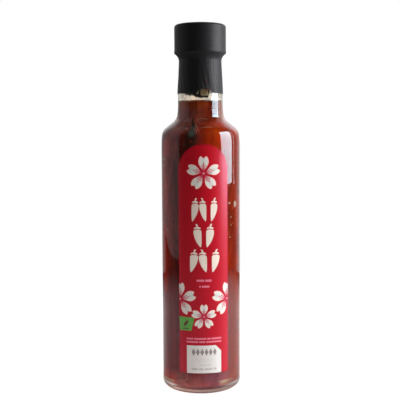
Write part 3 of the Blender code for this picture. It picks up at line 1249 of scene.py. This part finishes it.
class BOTTLE_OT_capsule(bpy.types.Operator):
    """Shrink the black capsule over the head and the neck"""

    bl_idname = "bottle.capsule"
    bl_label = "Capsule"

    def execute(self, context):
        capsule = context.scene.bottle_capsule
        waist = capsule.waist_radius - capsule.film
        crown = GLASS_HIGH[2] + 2 * capsule.film
        radii = even(waist, capsule.edge_radius - capsule.film, SKIRT_STEPS)
        skirt = list(zip(radii, even(capsule.waist_height, capsule.edge, SKIRT_STEPS)))
        lip, lip_height = capsule.lip_radius, capsule.lip_height
        side_end = capsule.top - capsule.corner
        corner = (capsule.head_radius - capsule.corner, side_end)
        outside = [(radius + capsule.film, height) for radius, height in reversed(skirt)]
        outside += bezier(outside[-1], *FLARE, FLARE_STEPS)
        outside += bezier(
            outside[-1],
            (lip, lip_height - 0.4 * MM),
            (lip, lip_height),
            (lip - 0.02 * MM, lip_height + 0.5 * MM),
            LIP_STEPS,
        )
        for height in even(lip_height + capsule.corner, side_end, HEAD_STEPS):
            outside.append((capsule.head_radius, height))
        outside += quarter(corner, (capsule.corner, capsule.corner), 0, CAPSULE_CORNER_STEPS)
        profile = [(0, crown), (waist, crown), *skirt, *outside, (0, capsule.top)]
        material = capsule_material(capsule)
        mesh = run_tree(
            "Capsule",
            turned("Capsule", profile, 2 * context.scene.bottle_glass.sides, material),
            "Shrunk Film",
            pleat_depth=capsule.wrinkle,
            edge_height=capsule.edge,
            ragged=capsule.ragged,
            head_height=capsule.lip_height,
            notch=capsule.notch,
            notch_bearing=capsule.notch_bearing,
            notch_reach=capsule.notch_reach,
            material=material,
        )
        add_piece("Capsule", close_and_smooth(mesh), "black_capsule", "capsule")

        mesh = rounded_bit("Dried_Fleck", (0.55, 0.75, 0.10), 9, 0.3)
        mesh.transform(against_wall(FLECK_RADIUS, math.radians(FLECK_BEARING), FLECK_HEIGHT))
        dried = bit_material("Dried Sauce", (0.030, 0.010, 0.008), (0.07, 0.018, 0.015), 700.0, 0.5)
        mesh.materials.append(dried)
        add_piece("Dried_Fleck", mesh, "hot_sauce")
        return {"FINISHED"}


# The label and its print

ARCH_STEPS = 64
PETALS = 5
PETAL_HALF = 0.305  # half the petal's width, of its reach
# Blossoms: (across, height) of the middle, and reach, in mm
BLOSSOMS = {
    "Blossom_Top": ((0.0, 136.3), 10.3),
    "Blossom_Left": ((-15.25, 59.5), 10.2),
    "Blossom_Right": ((15.25, 59.3), 10.2),
    "Blossom_Low": ((-0.1, 48.9), 7.7),
}
DOT_SIDES = 10
DOT_RADIUS = 0.06  # of the blossom's reach
VEIN = ((0.10, 0.030), (0.35, 0.018), (0.85, 0.012), (0.90, 0.032), (1.0, 0.030))  # share, half width
VEIN_START = 0.08  # of the reach
VEIN_SPREAD = 0.19  # radians between the three veins of a petal
# Rows of peppers: number, height, pitch, width and height of one, in mm
PEPPER_ROWS = ((3, 114.4, 5.8, 4.3, 14.2), (2, 98.7, 6.4, 4.9, 14.2), (3, 83.3, 6.7, 5.0, 14.0))
PEPPER_LEAN = 0.42
PEPPER_STEPS = 16
PEPPER_BODY = 0.76  # of a pepper's height, and where its cap starts
PEPPER_CAP_START = 0.78
# The right half's and then the left half's corners of a pepper's cap, as shares of width and height
PEPPER_CAP = (
    (-0.46, 0.0),
    (-0.15, 0.03),
    (0.15, 0.0),
    (0.46, 0.02),
    (0.34, 0.075),
    (0.10, 0.10),
    (-0.10, 0.10),
    (-0.36, 0.07),
)
# Broken lines: left, right, low and high in mm, the lengths of the words, and the gap in mm
PINK_LINES = (
    (-4.6, 4.6, 70.6, 71.9, (5, 4), 0.7),
    (-2.9, 3.2, 67.0, 68.2, (1, 5), 0.7),
    (-11.0, 10.8, 34.9, 35.95, (4, 7, 2, 6), 0.6),
    (-11.0, 10.8, 32.9, 33.95, (6, 3, 8), 0.6),
)
FAINT_LINES = (
    (-3.0, 4.0, 18.9, 19.3, (3, 2, 4), 0.5),
    (-7.8, 7.6, 15.9, 17.2, (4, 3, 5, 2), 0.8),
)
PANEL_HALF = 10.8 * MM
PANEL_TOP = 31.2 * MM
PANEL_CHAMFER = 3.7 * MM
DIAMONDS = 6
DIAMOND_PITCH = 2.62 * MM
DIAMOND_HEIGHT = 27.1 * MM
DIAMOND_TALL = 2.3 * MM  # half of each
DIAMOND_WIDE = 1.15 * MM
WAVE_STEPS = 48
WAVE_LENGTH = 10.0 * MM
WAVE_HEIGHT = 22.0 * MM
WAVE_SWING = 0.9 * MM
WAVE_TURNS = 5.5 / 1.25
WAVE_HALF = 0.13 * MM
BADGE = ((-15.4, 40.3), (-7.8, 40.3), (-5.9, 48.4))  # in mm, after its first corner
BADGE_TOP = 48.8 * MM
LEAF_STEPS = 12
LEAF_MIDDLE = (-11.2 * MM, 44.9 * MM)
LEAF_RUN = (3.2 * MM, 4.2 * MM)
LEAF_BULGE = 1.15 * MM
LEAF_BAR = (-13.2 * MM, -9.4 * MM, 41.3 * MM, 41.9 * MM)  # left, right, low, high


class BOTTLE_OT_label(bpy.types.Operator):
    """Wrap the arched red label round the front of the glass"""

    bl_idname = "bottle.label"
    bl_label = "Label"

    def execute(self, context):
        label = context.scene.bottle_label
        radius = context.scene.bottle_glass.radius
        half = label.width / 2
        outline = [(-half, label.bottom), (half, label.bottom)]
        for bearing in even(0, math.pi, ARCH_STEPS):
            outline.append((half * math.cos(bearing), label.arch_centre + half * math.sin(bearing)))
        paper = ink_material("Red Paper", label.red)
        shape = flat_shape([outline])
        mesh = wrap("Label", shape, radius + label.lift, label.paper, paper, radius, label.turn)
        add_piece("Label", mesh, "red_label", "label")
        return {"FINISHED"}


def petal_outline(reach):
    """One notched petal pointing up from the blossom's middle, as (across, height) points."""
    widest = (PETAL_HALF * reach, 0.66 * reach)
    right = [(0.006 * reach, 0.12 * reach)]
    right += bezier(right[0], (0.08 * reach, 0.28 * reach), (0.28 * reach, 0.44 * reach), widest, 8)
    tip = (0.18 * reach, reach)
    right += bezier(widest, (0.31 * reach, 0.79 * reach), (0.27 * reach, 0.92 * reach), tip, 5)
    right.append((0.10 * reach, 0.975 * reach))
    left = [(-across, along) for across, along in reversed(right)]
    return right + [(0, 0.865 * reach)] + left


def vein_outline(centre, reach, bearing, end):
    """A fine tapering line from near a blossom's middle outwards, ending in a small knob."""

    def side_point(step, side):
        share, half = step
        along = reach * (VEIN_START + (end - VEIN_START) * share)
        across = side * half * reach
        return (
            centre[0] + along * math.sin(bearing) + across * math.cos(bearing),
            centre[1] + along * math.cos(bearing) - across * math.sin(bearing),
        )

    return ribbon(VEIN, side_point)


def print_blossom(context, name, centre, reach, material):
    """Print a ring of petals around a point of the label."""
    petal = to_mesh(name + "_petal", flat_shape([petal_outline(reach)]))
    shape = bmesh.new()
    shape.from_mesh(run_tree(name, petal, "Petal Ring", petals=PETALS, material=material))
    bmesh.ops.translate(shape, verts=shape.verts, vec=(centre[0], 0, centre[1]))
    clip(shape, context.scene.bottle_label.width / 2)
    cut_in_strips(shape)
    along_petals = shape.loops.layers.uv.new("Petal")
    sector = math.tau / PETALS
    for face in shape.faces:
        middle = face.calc_center_median()
        turn = round(math.atan2(middle.x - centre[0], middle.z - centre[1]) / sector) * sector
        for loop in face.loops:
            x = loop.vert.co.x - centre[0]
            z = loop.vert.co.z - centre[1]
            across = x * math.cos(turn) - z * math.sin(turn)
            along = x * math.sin(turn) + z * math.cos(turn)
            loop[along_petals].uv = (across / (PETAL_HALF * reach), along / reach)
    print_shape(context, name, shape, material)


class BOTTLE_OT_blossoms(bpy.types.Operator):
    """Print the cherry blossoms on the label"""

    bl_idname = "bottle.blossoms"
    bl_label = "Blossoms"

    def execute(self, context):
        label = context.scene.bottle_label
        material = petal_material(label)
        dots = []
        veins = []
        for name, (place, size) in BLOSSOMS.items():
            centre = (place[0] * MM, place[1] * MM)
            reach = size * MM
            print_blossom(context, name, centre, reach, material)
            dot = DOT_RADIUS * reach
            dots.append(
                [
                    (centre[0] + dot * math.cos(turn), centre[1] + dot * math.sin(turn))
                    for turn in even(0, math.tau, DOT_SIDES)[:-1]
                ]
            )
            for petal in range(PETALS):
                for side, end in ((-1, 0.50), (0, 0.62), (1, 0.50)):
                    bearing = math.tau * petal / PETALS + side * VEIN_SPREAD
                    veins.append(vein_outline(centre, reach, bearing, end))
        print_outlines(context, "Blossom_Dots", dots, "Blossom Dot", label.dot)
        print_outlines(context, "Blossom_Veins", veins, "Vein Print", label.vein, layer=2)
        return {"FINISHED"}


def pepper_outlines(centre, width, height, lean):
    """A slim pepper hanging by its stalk: body, cap and stalk, as outlines round a centre."""
    top = -0.35 * lean * width
    cap_low = height * PEPPER_CAP_START

    def body_point(t, side):
        half = 0.5 * width * min(1.0, (t / 0.10 + 0.25) ** 0.5) * (1 - t**2.2) ** 0.8
        return (lean * width * (t**2 - 0.35) + side * half, height * PEPPER_BODY * (1 - t))

    def stalk_point(t, side):
        thick = 0.075 * width * (1 + 0.5 * t)
        return (top - lean * 0.35 * width * t * t + side * thick, cap_low + (0.09 + 0.13 * t) * height)

    outlines = (
        ribbon(even(0, 1, PEPPER_STEPS), body_point),
        [(top + across * width, cap_low + up * height) for across, up in PEPPER_CAP],
        ribbon(even(0, 1, 5), stalk_point),
    )
    return [[(centre[0] + x, centre[1] + z - height / 2) for x, z in outline] for outline in outlines]


class BOTTLE_OT_peppers(bpy.types.Operator):
    """Print the three rows of peppers down the middle of the label"""

    bl_idname = "bottle.peppers"
    bl_label = "Peppers"

    def execute(self, context):
        outlines = []
        for row, (count, height, pitch, wide, tall) in enumerate(PEPPER_ROWS):
            for i in range(count):
                centre = ((i - (count - 1) / 2) * pitch * MM, height * MM)
                lean = PEPPER_LEAN if (i + row) % 2 else -PEPPER_LEAN
                outlines += pepper_outlines(centre, wide * MM, tall * MM, lean)
        cream = context.scene.bottle_label.cream
        print_outlines(context, "Peppers", outlines, "Pepper Print", cream)
        return {"FINISHED"}


def box_outline(left, right, bottom, top):
    return [(left, bottom), (right, bottom), (right, top), (left, top)]


def broken_line(left, right, bottom, top, words, gap):
    """A line of plain bars, as long as words would be. The lengths are in millimetres."""
    room = right - left - gap * (len(words) - 1)
    outlines = []
    start = left
    for word in words:
        end = start + room * word / sum(words)
        outlines.append(box_outline(start * MM, end * MM, bottom * MM, top * MM))
        start = end + gap
    return outlines


def wave_point(t, side):
    height = WAVE_HEIGHT + WAVE_SWING * math.sin(WAVE_TURNS * math.tau * t)
    return ((t - 0.5) * WAVE_LENGTH, height + side * WAVE_HALF)


def leaf_point(t, side):
    bulge = LEAF_BULGE * math.sin(math.pi * t) ** 0.9
    across = LEAF_MIDDLE[0] + (t - 0.5) * LEAF_RUN[0] + side * bulge * 0.6
    return (across, LEAF_MIDDLE[1] + (t - 0.5) * LEAF_RUN[1] - side * bulge * 0.5)


class BOTTLE_OT_small_print(bpy.types.Operator):
    """Print the plain bars, the panel and the badge"""

    bl_idname = "bottle.small_print"
    bl_label = "Small print"

    def execute(self, context):
        label = context.scene.bottle_label
        bars = [bar for line in PINK_LINES for bar in broken_line(*line)]
        print_outlines(context, "Pink_Bars", bars, "Pink Print", label.pink)

        panel = [
            (-PANEL_HALF, label.bottom),
            (PANEL_HALF, label.bottom),
            (PANEL_HALF, PANEL_TOP - PANEL_CHAMFER),
            (PANEL_HALF - PANEL_CHAMFER, PANEL_TOP),
            (-PANEL_HALF, PANEL_TOP),
        ]
        print_outlines(context, "Panel", [panel], "Panel Paper", label.panel)
        diamonds = []
        for i in range(DIAMONDS):
            across = (i - (DIAMONDS - 1) / 2) * DIAMOND_PITCH
            diamonds.append(
                [
                    (across, DIAMOND_HEIGHT - DIAMOND_TALL),
                    (across + DIAMOND_WIDE, DIAMOND_HEIGHT),
                    (across, DIAMOND_HEIGHT + DIAMOND_TALL),
                    (across - DIAMOND_WIDE, DIAMOND_HEIGHT),
                ]
            )
        print_outlines(context, "Panel_Diamonds", diamonds, "Taupe Print", label.taupe, layer=2)
        faint = [ribbon(even(0, 1, WAVE_STEPS), wave_point)]
        faint += [bar for line in FAINT_LINES for bar in broken_line(*line)]
        pale = tuple(0.55 * a + 0.45 * b for a, b in zip(label.panel, label.taupe))
        print_outlines(context, "Panel_Lines", faint, "Faint Print", pale, layer=2)

        badge = [(-label.width / 2, BADGE_TOP)] + [(across * MM, height * MM) for across, height in BADGE]
        print_outlines(context, "Badge", [badge], "Badge Green", label.green, variation=0.5)
        leaf = ribbon(even(0, 1, LEAF_STEPS), leaf_point)
        bar = box_outline(*LEAF_BAR)
        print_outlines(context, "Badge_Leaf", [leaf, bar], "Badge Olive", label.olive, layer=2)
        return {"FINISHED"}


# Bits in the sauce

# Skin, path as (bearing in degrees, height, depth in mm), three radii in mm, sides and waviness in mm
STRANDS = {
    "Chilli": (
        ("Chilli Skin", (0.040, 0.034, 0.022), (0.11, 0.090, 0.065), 250.0, 0.35),
        [(*place, depth) for place, depth in zip(CHILLI_PATH, (1.3, 2.05, 2.9, 3.6, 4.2))],
        (1.3, 2.3, 0.8),
        20,
        0.0,
    ),
    "Chilli_Cap": (
        ("Chilli Cap", (0.050, 0.044, 0.028), (0.140, 0.120, 0.080), 380.0),
        ((-13.6, 161.6, 0.75), (-13.6, 162.8, 0.75), (-13.2, 163.8, 0.75)),
        (1.35, 1.2, 0.35),
        10,
        0.0,
    ),
    "Chilli_Stalk": (
        ("Chilli Stalk", (0.018, 0.004, 0.003), (0.060, 0.014, 0.008), 300.0),
        ((-13.3, 163.4, 0.15), (-15.5, 165.0, 0.15), (-19.0, 166.8, 0.15), (-22.0, 168.4, 0.25)),
        (0.55, 0.42, 0.5),
        10,
        0.3,
    ),
}
FIBRES = (
    ((-12.3, 166.1), (-7.6, 163.7), (-3.4, 161.7), (0.4, 159.5)),
    ((-11.0, 163.1), (-6.9, 161.2), (-4.7, 158.9)),
    ((-2.7, 162.6), (4.4, 162.8), (13.8, 163.2), (24.6, 162.7)),
    ((-9.0, 167.6), (4.2, 168.9), (18.7, 167.9)),
    ((-29.2, 162.1), (-24.4, 162.6), (-20.7, 161.2)),
)
# Seeds that the photo shows: bearing in degrees, height in mm, size, tilt in degrees
SHOWN_SEEDS = (
    (63.6, 116.7, 1.6, 12),
    (48.6, 117.7, 0.6, 70),
    (52.4, 109.0, 0.35, 10),
    (52.4, 104.0, 0.30, 40),
    (50.0, 96.7, 0.45, 80),
    (-60.3, 101.4, 0.5, 30),
)
SEED_DEPTH = 0.2 * MM
FLECK_DEPTH = 0.12 * MM
# Flecks: half sizes in mm, two colours and the seed of their random places
FLECKS = {
    "Flecks_Red": ((0.55, 0.9, 0.25), (0.30, 0.02, 0.004), (0.62, 0.10, 0.02), 5),
    "Flecks_Dark": ((0.5, 0.7, 0.25), (0.02, 0.004, 0.002), (0.08, 0.02, 0.005), 6),
}
WALL_SIDES = 64
WALL_START = 8  # the first point of the inner profile that the flecks' wall takes


def rounded_bit(name, half_sizes, seed, roughness):
    """A small uneven lump about the origin. The half sizes are in millimetres."""
    draw = random.Random(seed)
    shape = bmesh.new()
    bmesh.ops.create_icosphere(shape, subdivisions=2, radius=1.0)
    for corner in shape.verts:
        stretch = 1.0 + roughness * (draw.random() - 0.5)
        corner.co = Vector([part * half * MM for part, half in zip(corner.co, half_sizes)]) * stretch
    mesh = to_mesh(name, shape)
    mesh.shade_smooth()
    return mesh


def strand(name, points, material, radii, sides, waviness):
    """A strand along points, with its three radii and its waviness in millimetres."""
    mesh = run_tree(
        name,
        line_mesh(name + "_path", points),
        "Tapered Strand",
        start_radius=radii[0] * MM,
        middle_radius=radii[1] * MM,
        end_radius=radii[2] * MM,
        sides=sides,
        waviness=waviness * MM,
        material=material,
    )
    return close_and_smooth(mesh, 60)


class BOTTLE_OT_chilli(bpy.types.Operator):
    """Sink a whole chilli with its stalk in the shoulder, and fibres beside it"""

    bl_idname = "bottle.chilli"
    bl_label = "Chilli and fibres"

    def execute(self, context):
        glass = context.scene.bottle_glass
        reach = context.scene.bottle_sauce.reach
        for name, (skin, path, radii, sides, waviness) in STRANDS.items():
            points = [at_wall(glass, reach - depth * MM, *place) for *place, depth in path]
            mesh = strand(name, points, bit_material(*skin), radii, sides, waviness)
            add_piece(name, mesh, "hot_sauce")

        fibre = bit_material("Fibre", (0.46, 0.14, 0.07), (0.90, 0.44, 0.28))
        meshes = []
        for line in FIBRES:
            points = [at_wall(glass, reach + 0.02 * MM, *place) for place in line]
            meshes.append(strand("Fibre", points, fibre, (0.04, 0.17, 0.04), 6, 0.2))
        add_piece("Fibres", joined("Fibres", meshes, fibre), "hot_sauce")
        return {"FINISHED"}


class BOTTLE_OT_seeds(bpy.types.Operator):
    """Put seeds and flecks of chilli in the sauce, against the glass"""

    bl_idname = "bottle.seeds"
    bl_label = "Seeds and flecks"

    def execute(self, context):
        glass = context.scene.bottle_glass
        sauce = context.scene.bottle_sauce
        pale = bit_material("Seed", (0.50, 0.28, 0.16), (0.85, 0.62, 0.45), 300.0, 0.35)
        draft = rounded_bit("Seed_Draft", (1.15, 1.5, 0.45), 3, 0.12)
        draw = random.Random(11)
        places = list(SHOWN_SEEDS)
        for _ in range(sauce.seeds):
            bearing = draw.uniform(70, 290)
            places.append((bearing, draw.uniform(20, 145), draw.uniform(0.6, 1.1), draw.uniform(0, 180)))
        seeds = []
        for bearing, height, size, tilt in places:
            radius = glass.radius - glass.wall + sauce.reach - SEED_DEPTH * size
            move = against_wall(radius, math.radians(bearing), height * MM)
            seed = draft.copy()
            seed.transform(move @ Matrix.Rotation(math.radians(tilt), 4, "Z") @ Matrix.Scale(size, 4))
            seeds.append(seed)
        add_piece("Seeds", joined("Seeds", seeds, pale), "hot_sauce")

        profile = inner_profile(glass, sauce.reach - FLECK_DEPTH)[WALL_START:]
        wall = turned_raw("Wall", profile, WALL_SIDES, pale)
        area = math.tau * glass.radius * (glass.shoulder_start - glass.floor)
        for name, (half_sizes, dark, bright, seed) in FLECKS.items():
            bit = put_in_scene(name + "_bit", rounded_bit(name + "_draft", half_sizes, seed, 0.5))
            mesh = run_tree(
                name,
                wall.copy(),
                "Wall Scatter",
                bit=bit,
                density=0.5 * sauce.flecks / area,
                seed=seed,
                smallest=0.35,
                largest=1.1,
                material=bit_material(name, dark, bright),
            )
            bpy.data.objects.remove(bit)
            mesh.shade_smooth()
            add_piece(name, mesh, "hot_sauce")
        return {"FINISHED"}


# The studio

# Brightness of the backdrop in reflections, by degrees to the right of straight behind the bottle
BACKDROP = (
    (-76, 0.015),
    (-54, 0.05),
    (-46, 0.34),
    (-18, 0.42),
    (15, 0.58),
    (30, 0.82),
    (40, 0.66),
    (48, 0.45),
    (56, 0.17),
    (64, 0.04),
    (76, 0.015),
)
DAYLIGHT = (0.88, 0.94, 1.0)
CARD_TINT = (1.0, 0.95, 0.98)
# Name, setting of its radiance, place, size, heights of its lower edge, fade and tint
PANELS = (
    ("Key_Softbox", "key", (0.62, 82.0), (0.45, 0.50), (0.09, 0.09), 0.42, DAYLIGHT),
    ("Key_Edge", "edge", (0.62, 112.0), (0.026, 0.50), (0.09, 0.09), 0.3, DAYLIGHT),
    ("White_Card", "card", (0.55, -99.0), (0.77, 1.60), (0.026, -0.030), 0.0, CARD_TINT),
)


class BOTTLE_OT_studio(bpy.types.Operator):
    """Set up the floor, the lights and the camera"""

    bl_idname = "bottle.studio"
    bl_label = "Studio"

    def execute(self, context):
        studio = context.scene.bottle_studio
        self.make_floor(studio)
        for name, setting, *form in PANELS:
            self.make_panel(name, getattr(studio, setting), *form)
        self.make_world(context, studio)
        self.make_camera(context, studio)
        context.scene.view_settings.view_transform = "Standard"
        return {"FINISHED"}

    def make_floor(self, studio):
        """A pale round floor that melts into the white backdrop, less bright in reflections, with painted
        shade in them near the bottle and in front of it.
        """
        shape = bmesh.new()
        bmesh.ops.create_circle(shape, cap_ends=True, segments=64, radius=studio.floor)
        mesh = to_mesh("Floor", shape)
        material, tree = new_material("Floor")
        place = object_place(tree)
        right, depth, _ = axes(tree, place)
        out = vectors(tree, "LENGTH", place)
        path = node(tree, "ShaderNodeLightPath").outputs
        camera = path["Is Camera Ray"]
        fade = by(tree, out, 0.55 * studio.floor, 0.95 * studio.floor, 1.0, 0.02, kind="LINEAR")
        # Painted shade in reflections: the floor is darker near the bottle and in front of it, where shade
        # falls.
        near = by(tree, out, 0.06, 0.28, 0.50, 0.68, kind="LINEAR")
        depth = maths(tree, "MULTIPLY_ADD", maths(tree, "MINIMUM", right, 0.0), -0.25, depth)
        front = by(tree, depth, -0.075, -0.030, 0.12, 1.0, kind="LINEAR")
        painted_reflection_shade = mix(tree, path["Is Glossy Ray"], 1.0, maths(tree, "MULTIPLY", near, front), kind="FLOAT")
        fade = maths(tree, "MULTIPLY", fade, painted_reflection_shade)
        pale = mix(tree, noise(tree, place, 30.0), (0.85, 0.83, 0.81), (0.88, 0.86, 0.84))
        glow = maths(tree, "MULTIPLY", fade, studio.floor_glow)
        paint(
            material,
            Roughness=0.7,
            Emission_Color=(1.0, 0.99, 0.98),
            Emission_Strength=mix(tree, camera, glow, 0.97, kind="FLOAT"),
            Base_Color=scaled(tree, pale, mix(tree, camera, fade, 0.2, kind="FLOAT")),
        )
        mesh.materials.append(material)
        floor = put_in_scene("Floor", mesh)

    def make_panel(self, name, radiance, place, size, lows, fade, tint):
        """A glowing upright panel facing the bottle, at (distance, degrees right of the camera).

        The lows are the heights of its lower edge at its left and its right.
        """
        distance, bearing = place
        half = size[0] / 2
        low = lows[0]
        high = low + size[1]
        mesh = bpy.data.meshes.new(name)
        corners = [(-half, 0, low), (half, 0, lows[1]), (half, 0, high), (-half, 0, high)]
        mesh.from_pydata(corners, [], [range(4)])
        mesh.transform(Matrix.Rotation(math.radians(bearing), 4, "Z") @ Matrix.Translation((0, -distance, 0)))
        material, tree = new_material(name)
        tree.nodes.remove(tree.nodes["Principled BSDF"])
        up = axes(tree, object_place(tree))[2]
        share = by(tree, up, low, low + 0.7 * size[1], 1.0 - fade, 1.0, kind="LINEAR")
        strength = maths(tree, "MULTIPLY", share, radiance)
        glow = result(tree, "ShaderNodeEmission", Color=tint, Strength=strength)
        connect(tree, tree.nodes["Material Output"].inputs, Surface=glow)
        mesh.materials.append(material)
        panel = put_in_scene(name, mesh)
        panel.visible_camera = False

    def make_world(self, context, studio):
        """White for the camera and through clear glass; a dim room with a bright backdrop for the rest."""
        world = bpy.data.worlds.new("Studio")
        world.use_nodes = True
        tree = world.node_tree
        path = node(tree, "ShaderNodeLightPath").outputs
        seen = maths(tree, "MAXIMUM", path["Is Camera Ray"], path["Is Transmission Ray"])
        seen = maths(tree, "MULTIPLY", seen, maths(tree, "LESS_THAN", path["Diffuse Depth"], 0.5))
        right, behind, above = axes(tree, node(tree, "ShaderNodeTexCoord").outputs["Generated"])
        bearing = maths(tree, "ARCTAN2", right, behind)
        ramp = node(tree, "ShaderNodeValToRGB", maths(tree, "MULTIPLY_ADD", bearing, 0.5 / math.pi, 0.5))
        stops = ramp.color_ramp.elements
        for degrees, level in BACKDROP[1:-1]:
            stops.new(0.5 + degrees / 360)
        for stop, (degrees, level) in zip(stops, BACKDROP):
            stop.position = 0.5 + degrees / 360
            stop.color = (level, level, level, 1.0)
        higher = by(tree, above, 0.05, 0.30, 1.0, studio.backdrop_top)
        backdrop = product(tree, ramp.outputs[0], higher, by(tree, above, 0.45, 0.80, 1.0, 0.12))
        room = mix(tree, path["Is Glossy Ray"], studio.fill, backdrop, kind="FLOAT")
        strength = maths(tree, "MAXIMUM", seen, room)
        connect(tree, tree.nodes["Background"].inputs, Color=(1.0, 1.0, 1.0), Strength=strength)
        context.scene.world = world

    def make_camera(self, context, studio):
        camera = bpy.data.cameras.new("Camera")
        camera.lens = studio.focal
        camera.clip_start = 0.01
        made = put_in_scene("Camera", camera)
        look = Matrix.Rotation(math.pi / 2 - studio.pitch, 4, "X") @ Matrix.Rotation(-studio.roll, 4, "Z")
        made.matrix_world = Matrix.Translation((-studio.aside, -studio.distance, studio.height)) @ look
        context.scene.camera = made


# The add-on

OPERATORS = (
    BOTTLE_OT_glass,
    BOTTLE_OT_sauce,
    BOTTLE_OT_chilli,
    BOTTLE_OT_seeds,
    BOTTLE_OT_capsule,
    BOTTLE_OT_label,
    BOTTLE_OT_blossoms,
    BOTTLE_OT_peppers,
    BOTTLE_OT_small_print,
    BOTTLE_OT_studio,
)


class BOTTLE_PT_panel(bpy.types.Panel):
    """The bottle's operators and sizes, in the sidebar"""

    bl_label = "Hot Sauce Bottle"
    bl_space_type = "VIEW_3D"
    bl_region_type = "UI"
    bl_category = "Bottle"

    def draw(self, context):
        for operator in OPERATORS:
            self.layout.operator(operator.bl_idname)
        for name, kind in SETTINGS.items():
            box = self.layout.box()
            settings = getattr(context.scene, name)
            for key in kind.__annotations__:
                box.prop(settings, key)


def register():
    for kind in (*SETTINGS.values(), *OPERATORS, BOTTLE_PT_panel):
        bpy.utils.register_class(kind)
    for name, kind in SETTINGS.items():
        setattr(bpy.types.Scene, name, PointerProperty(type=kind))


def unregister():
    for name in SETTINGS:
        delattr(bpy.types.Scene, name)
    for kind in (BOTTLE_PT_panel, *reversed(OPERATORS), *SETTINGS.values()):
        bpy.utils.unregister_class(kind)


def main():
    register()
    bpy.ops.bottle.glass()
    bpy.ops.bottle.sauce()
    bpy.ops.bottle.chilli()
    bpy.ops.bottle.seeds()
    bpy.ops.bottle.capsule()
    bpy.ops.bottle.label()
    bpy.ops.bottle.blossoms()
    bpy.ops.bottle.peppers()
    bpy.ops.bottle.small_print()
    bpy.ops.bottle.studio()


if __name__ == "__main__":
    main()
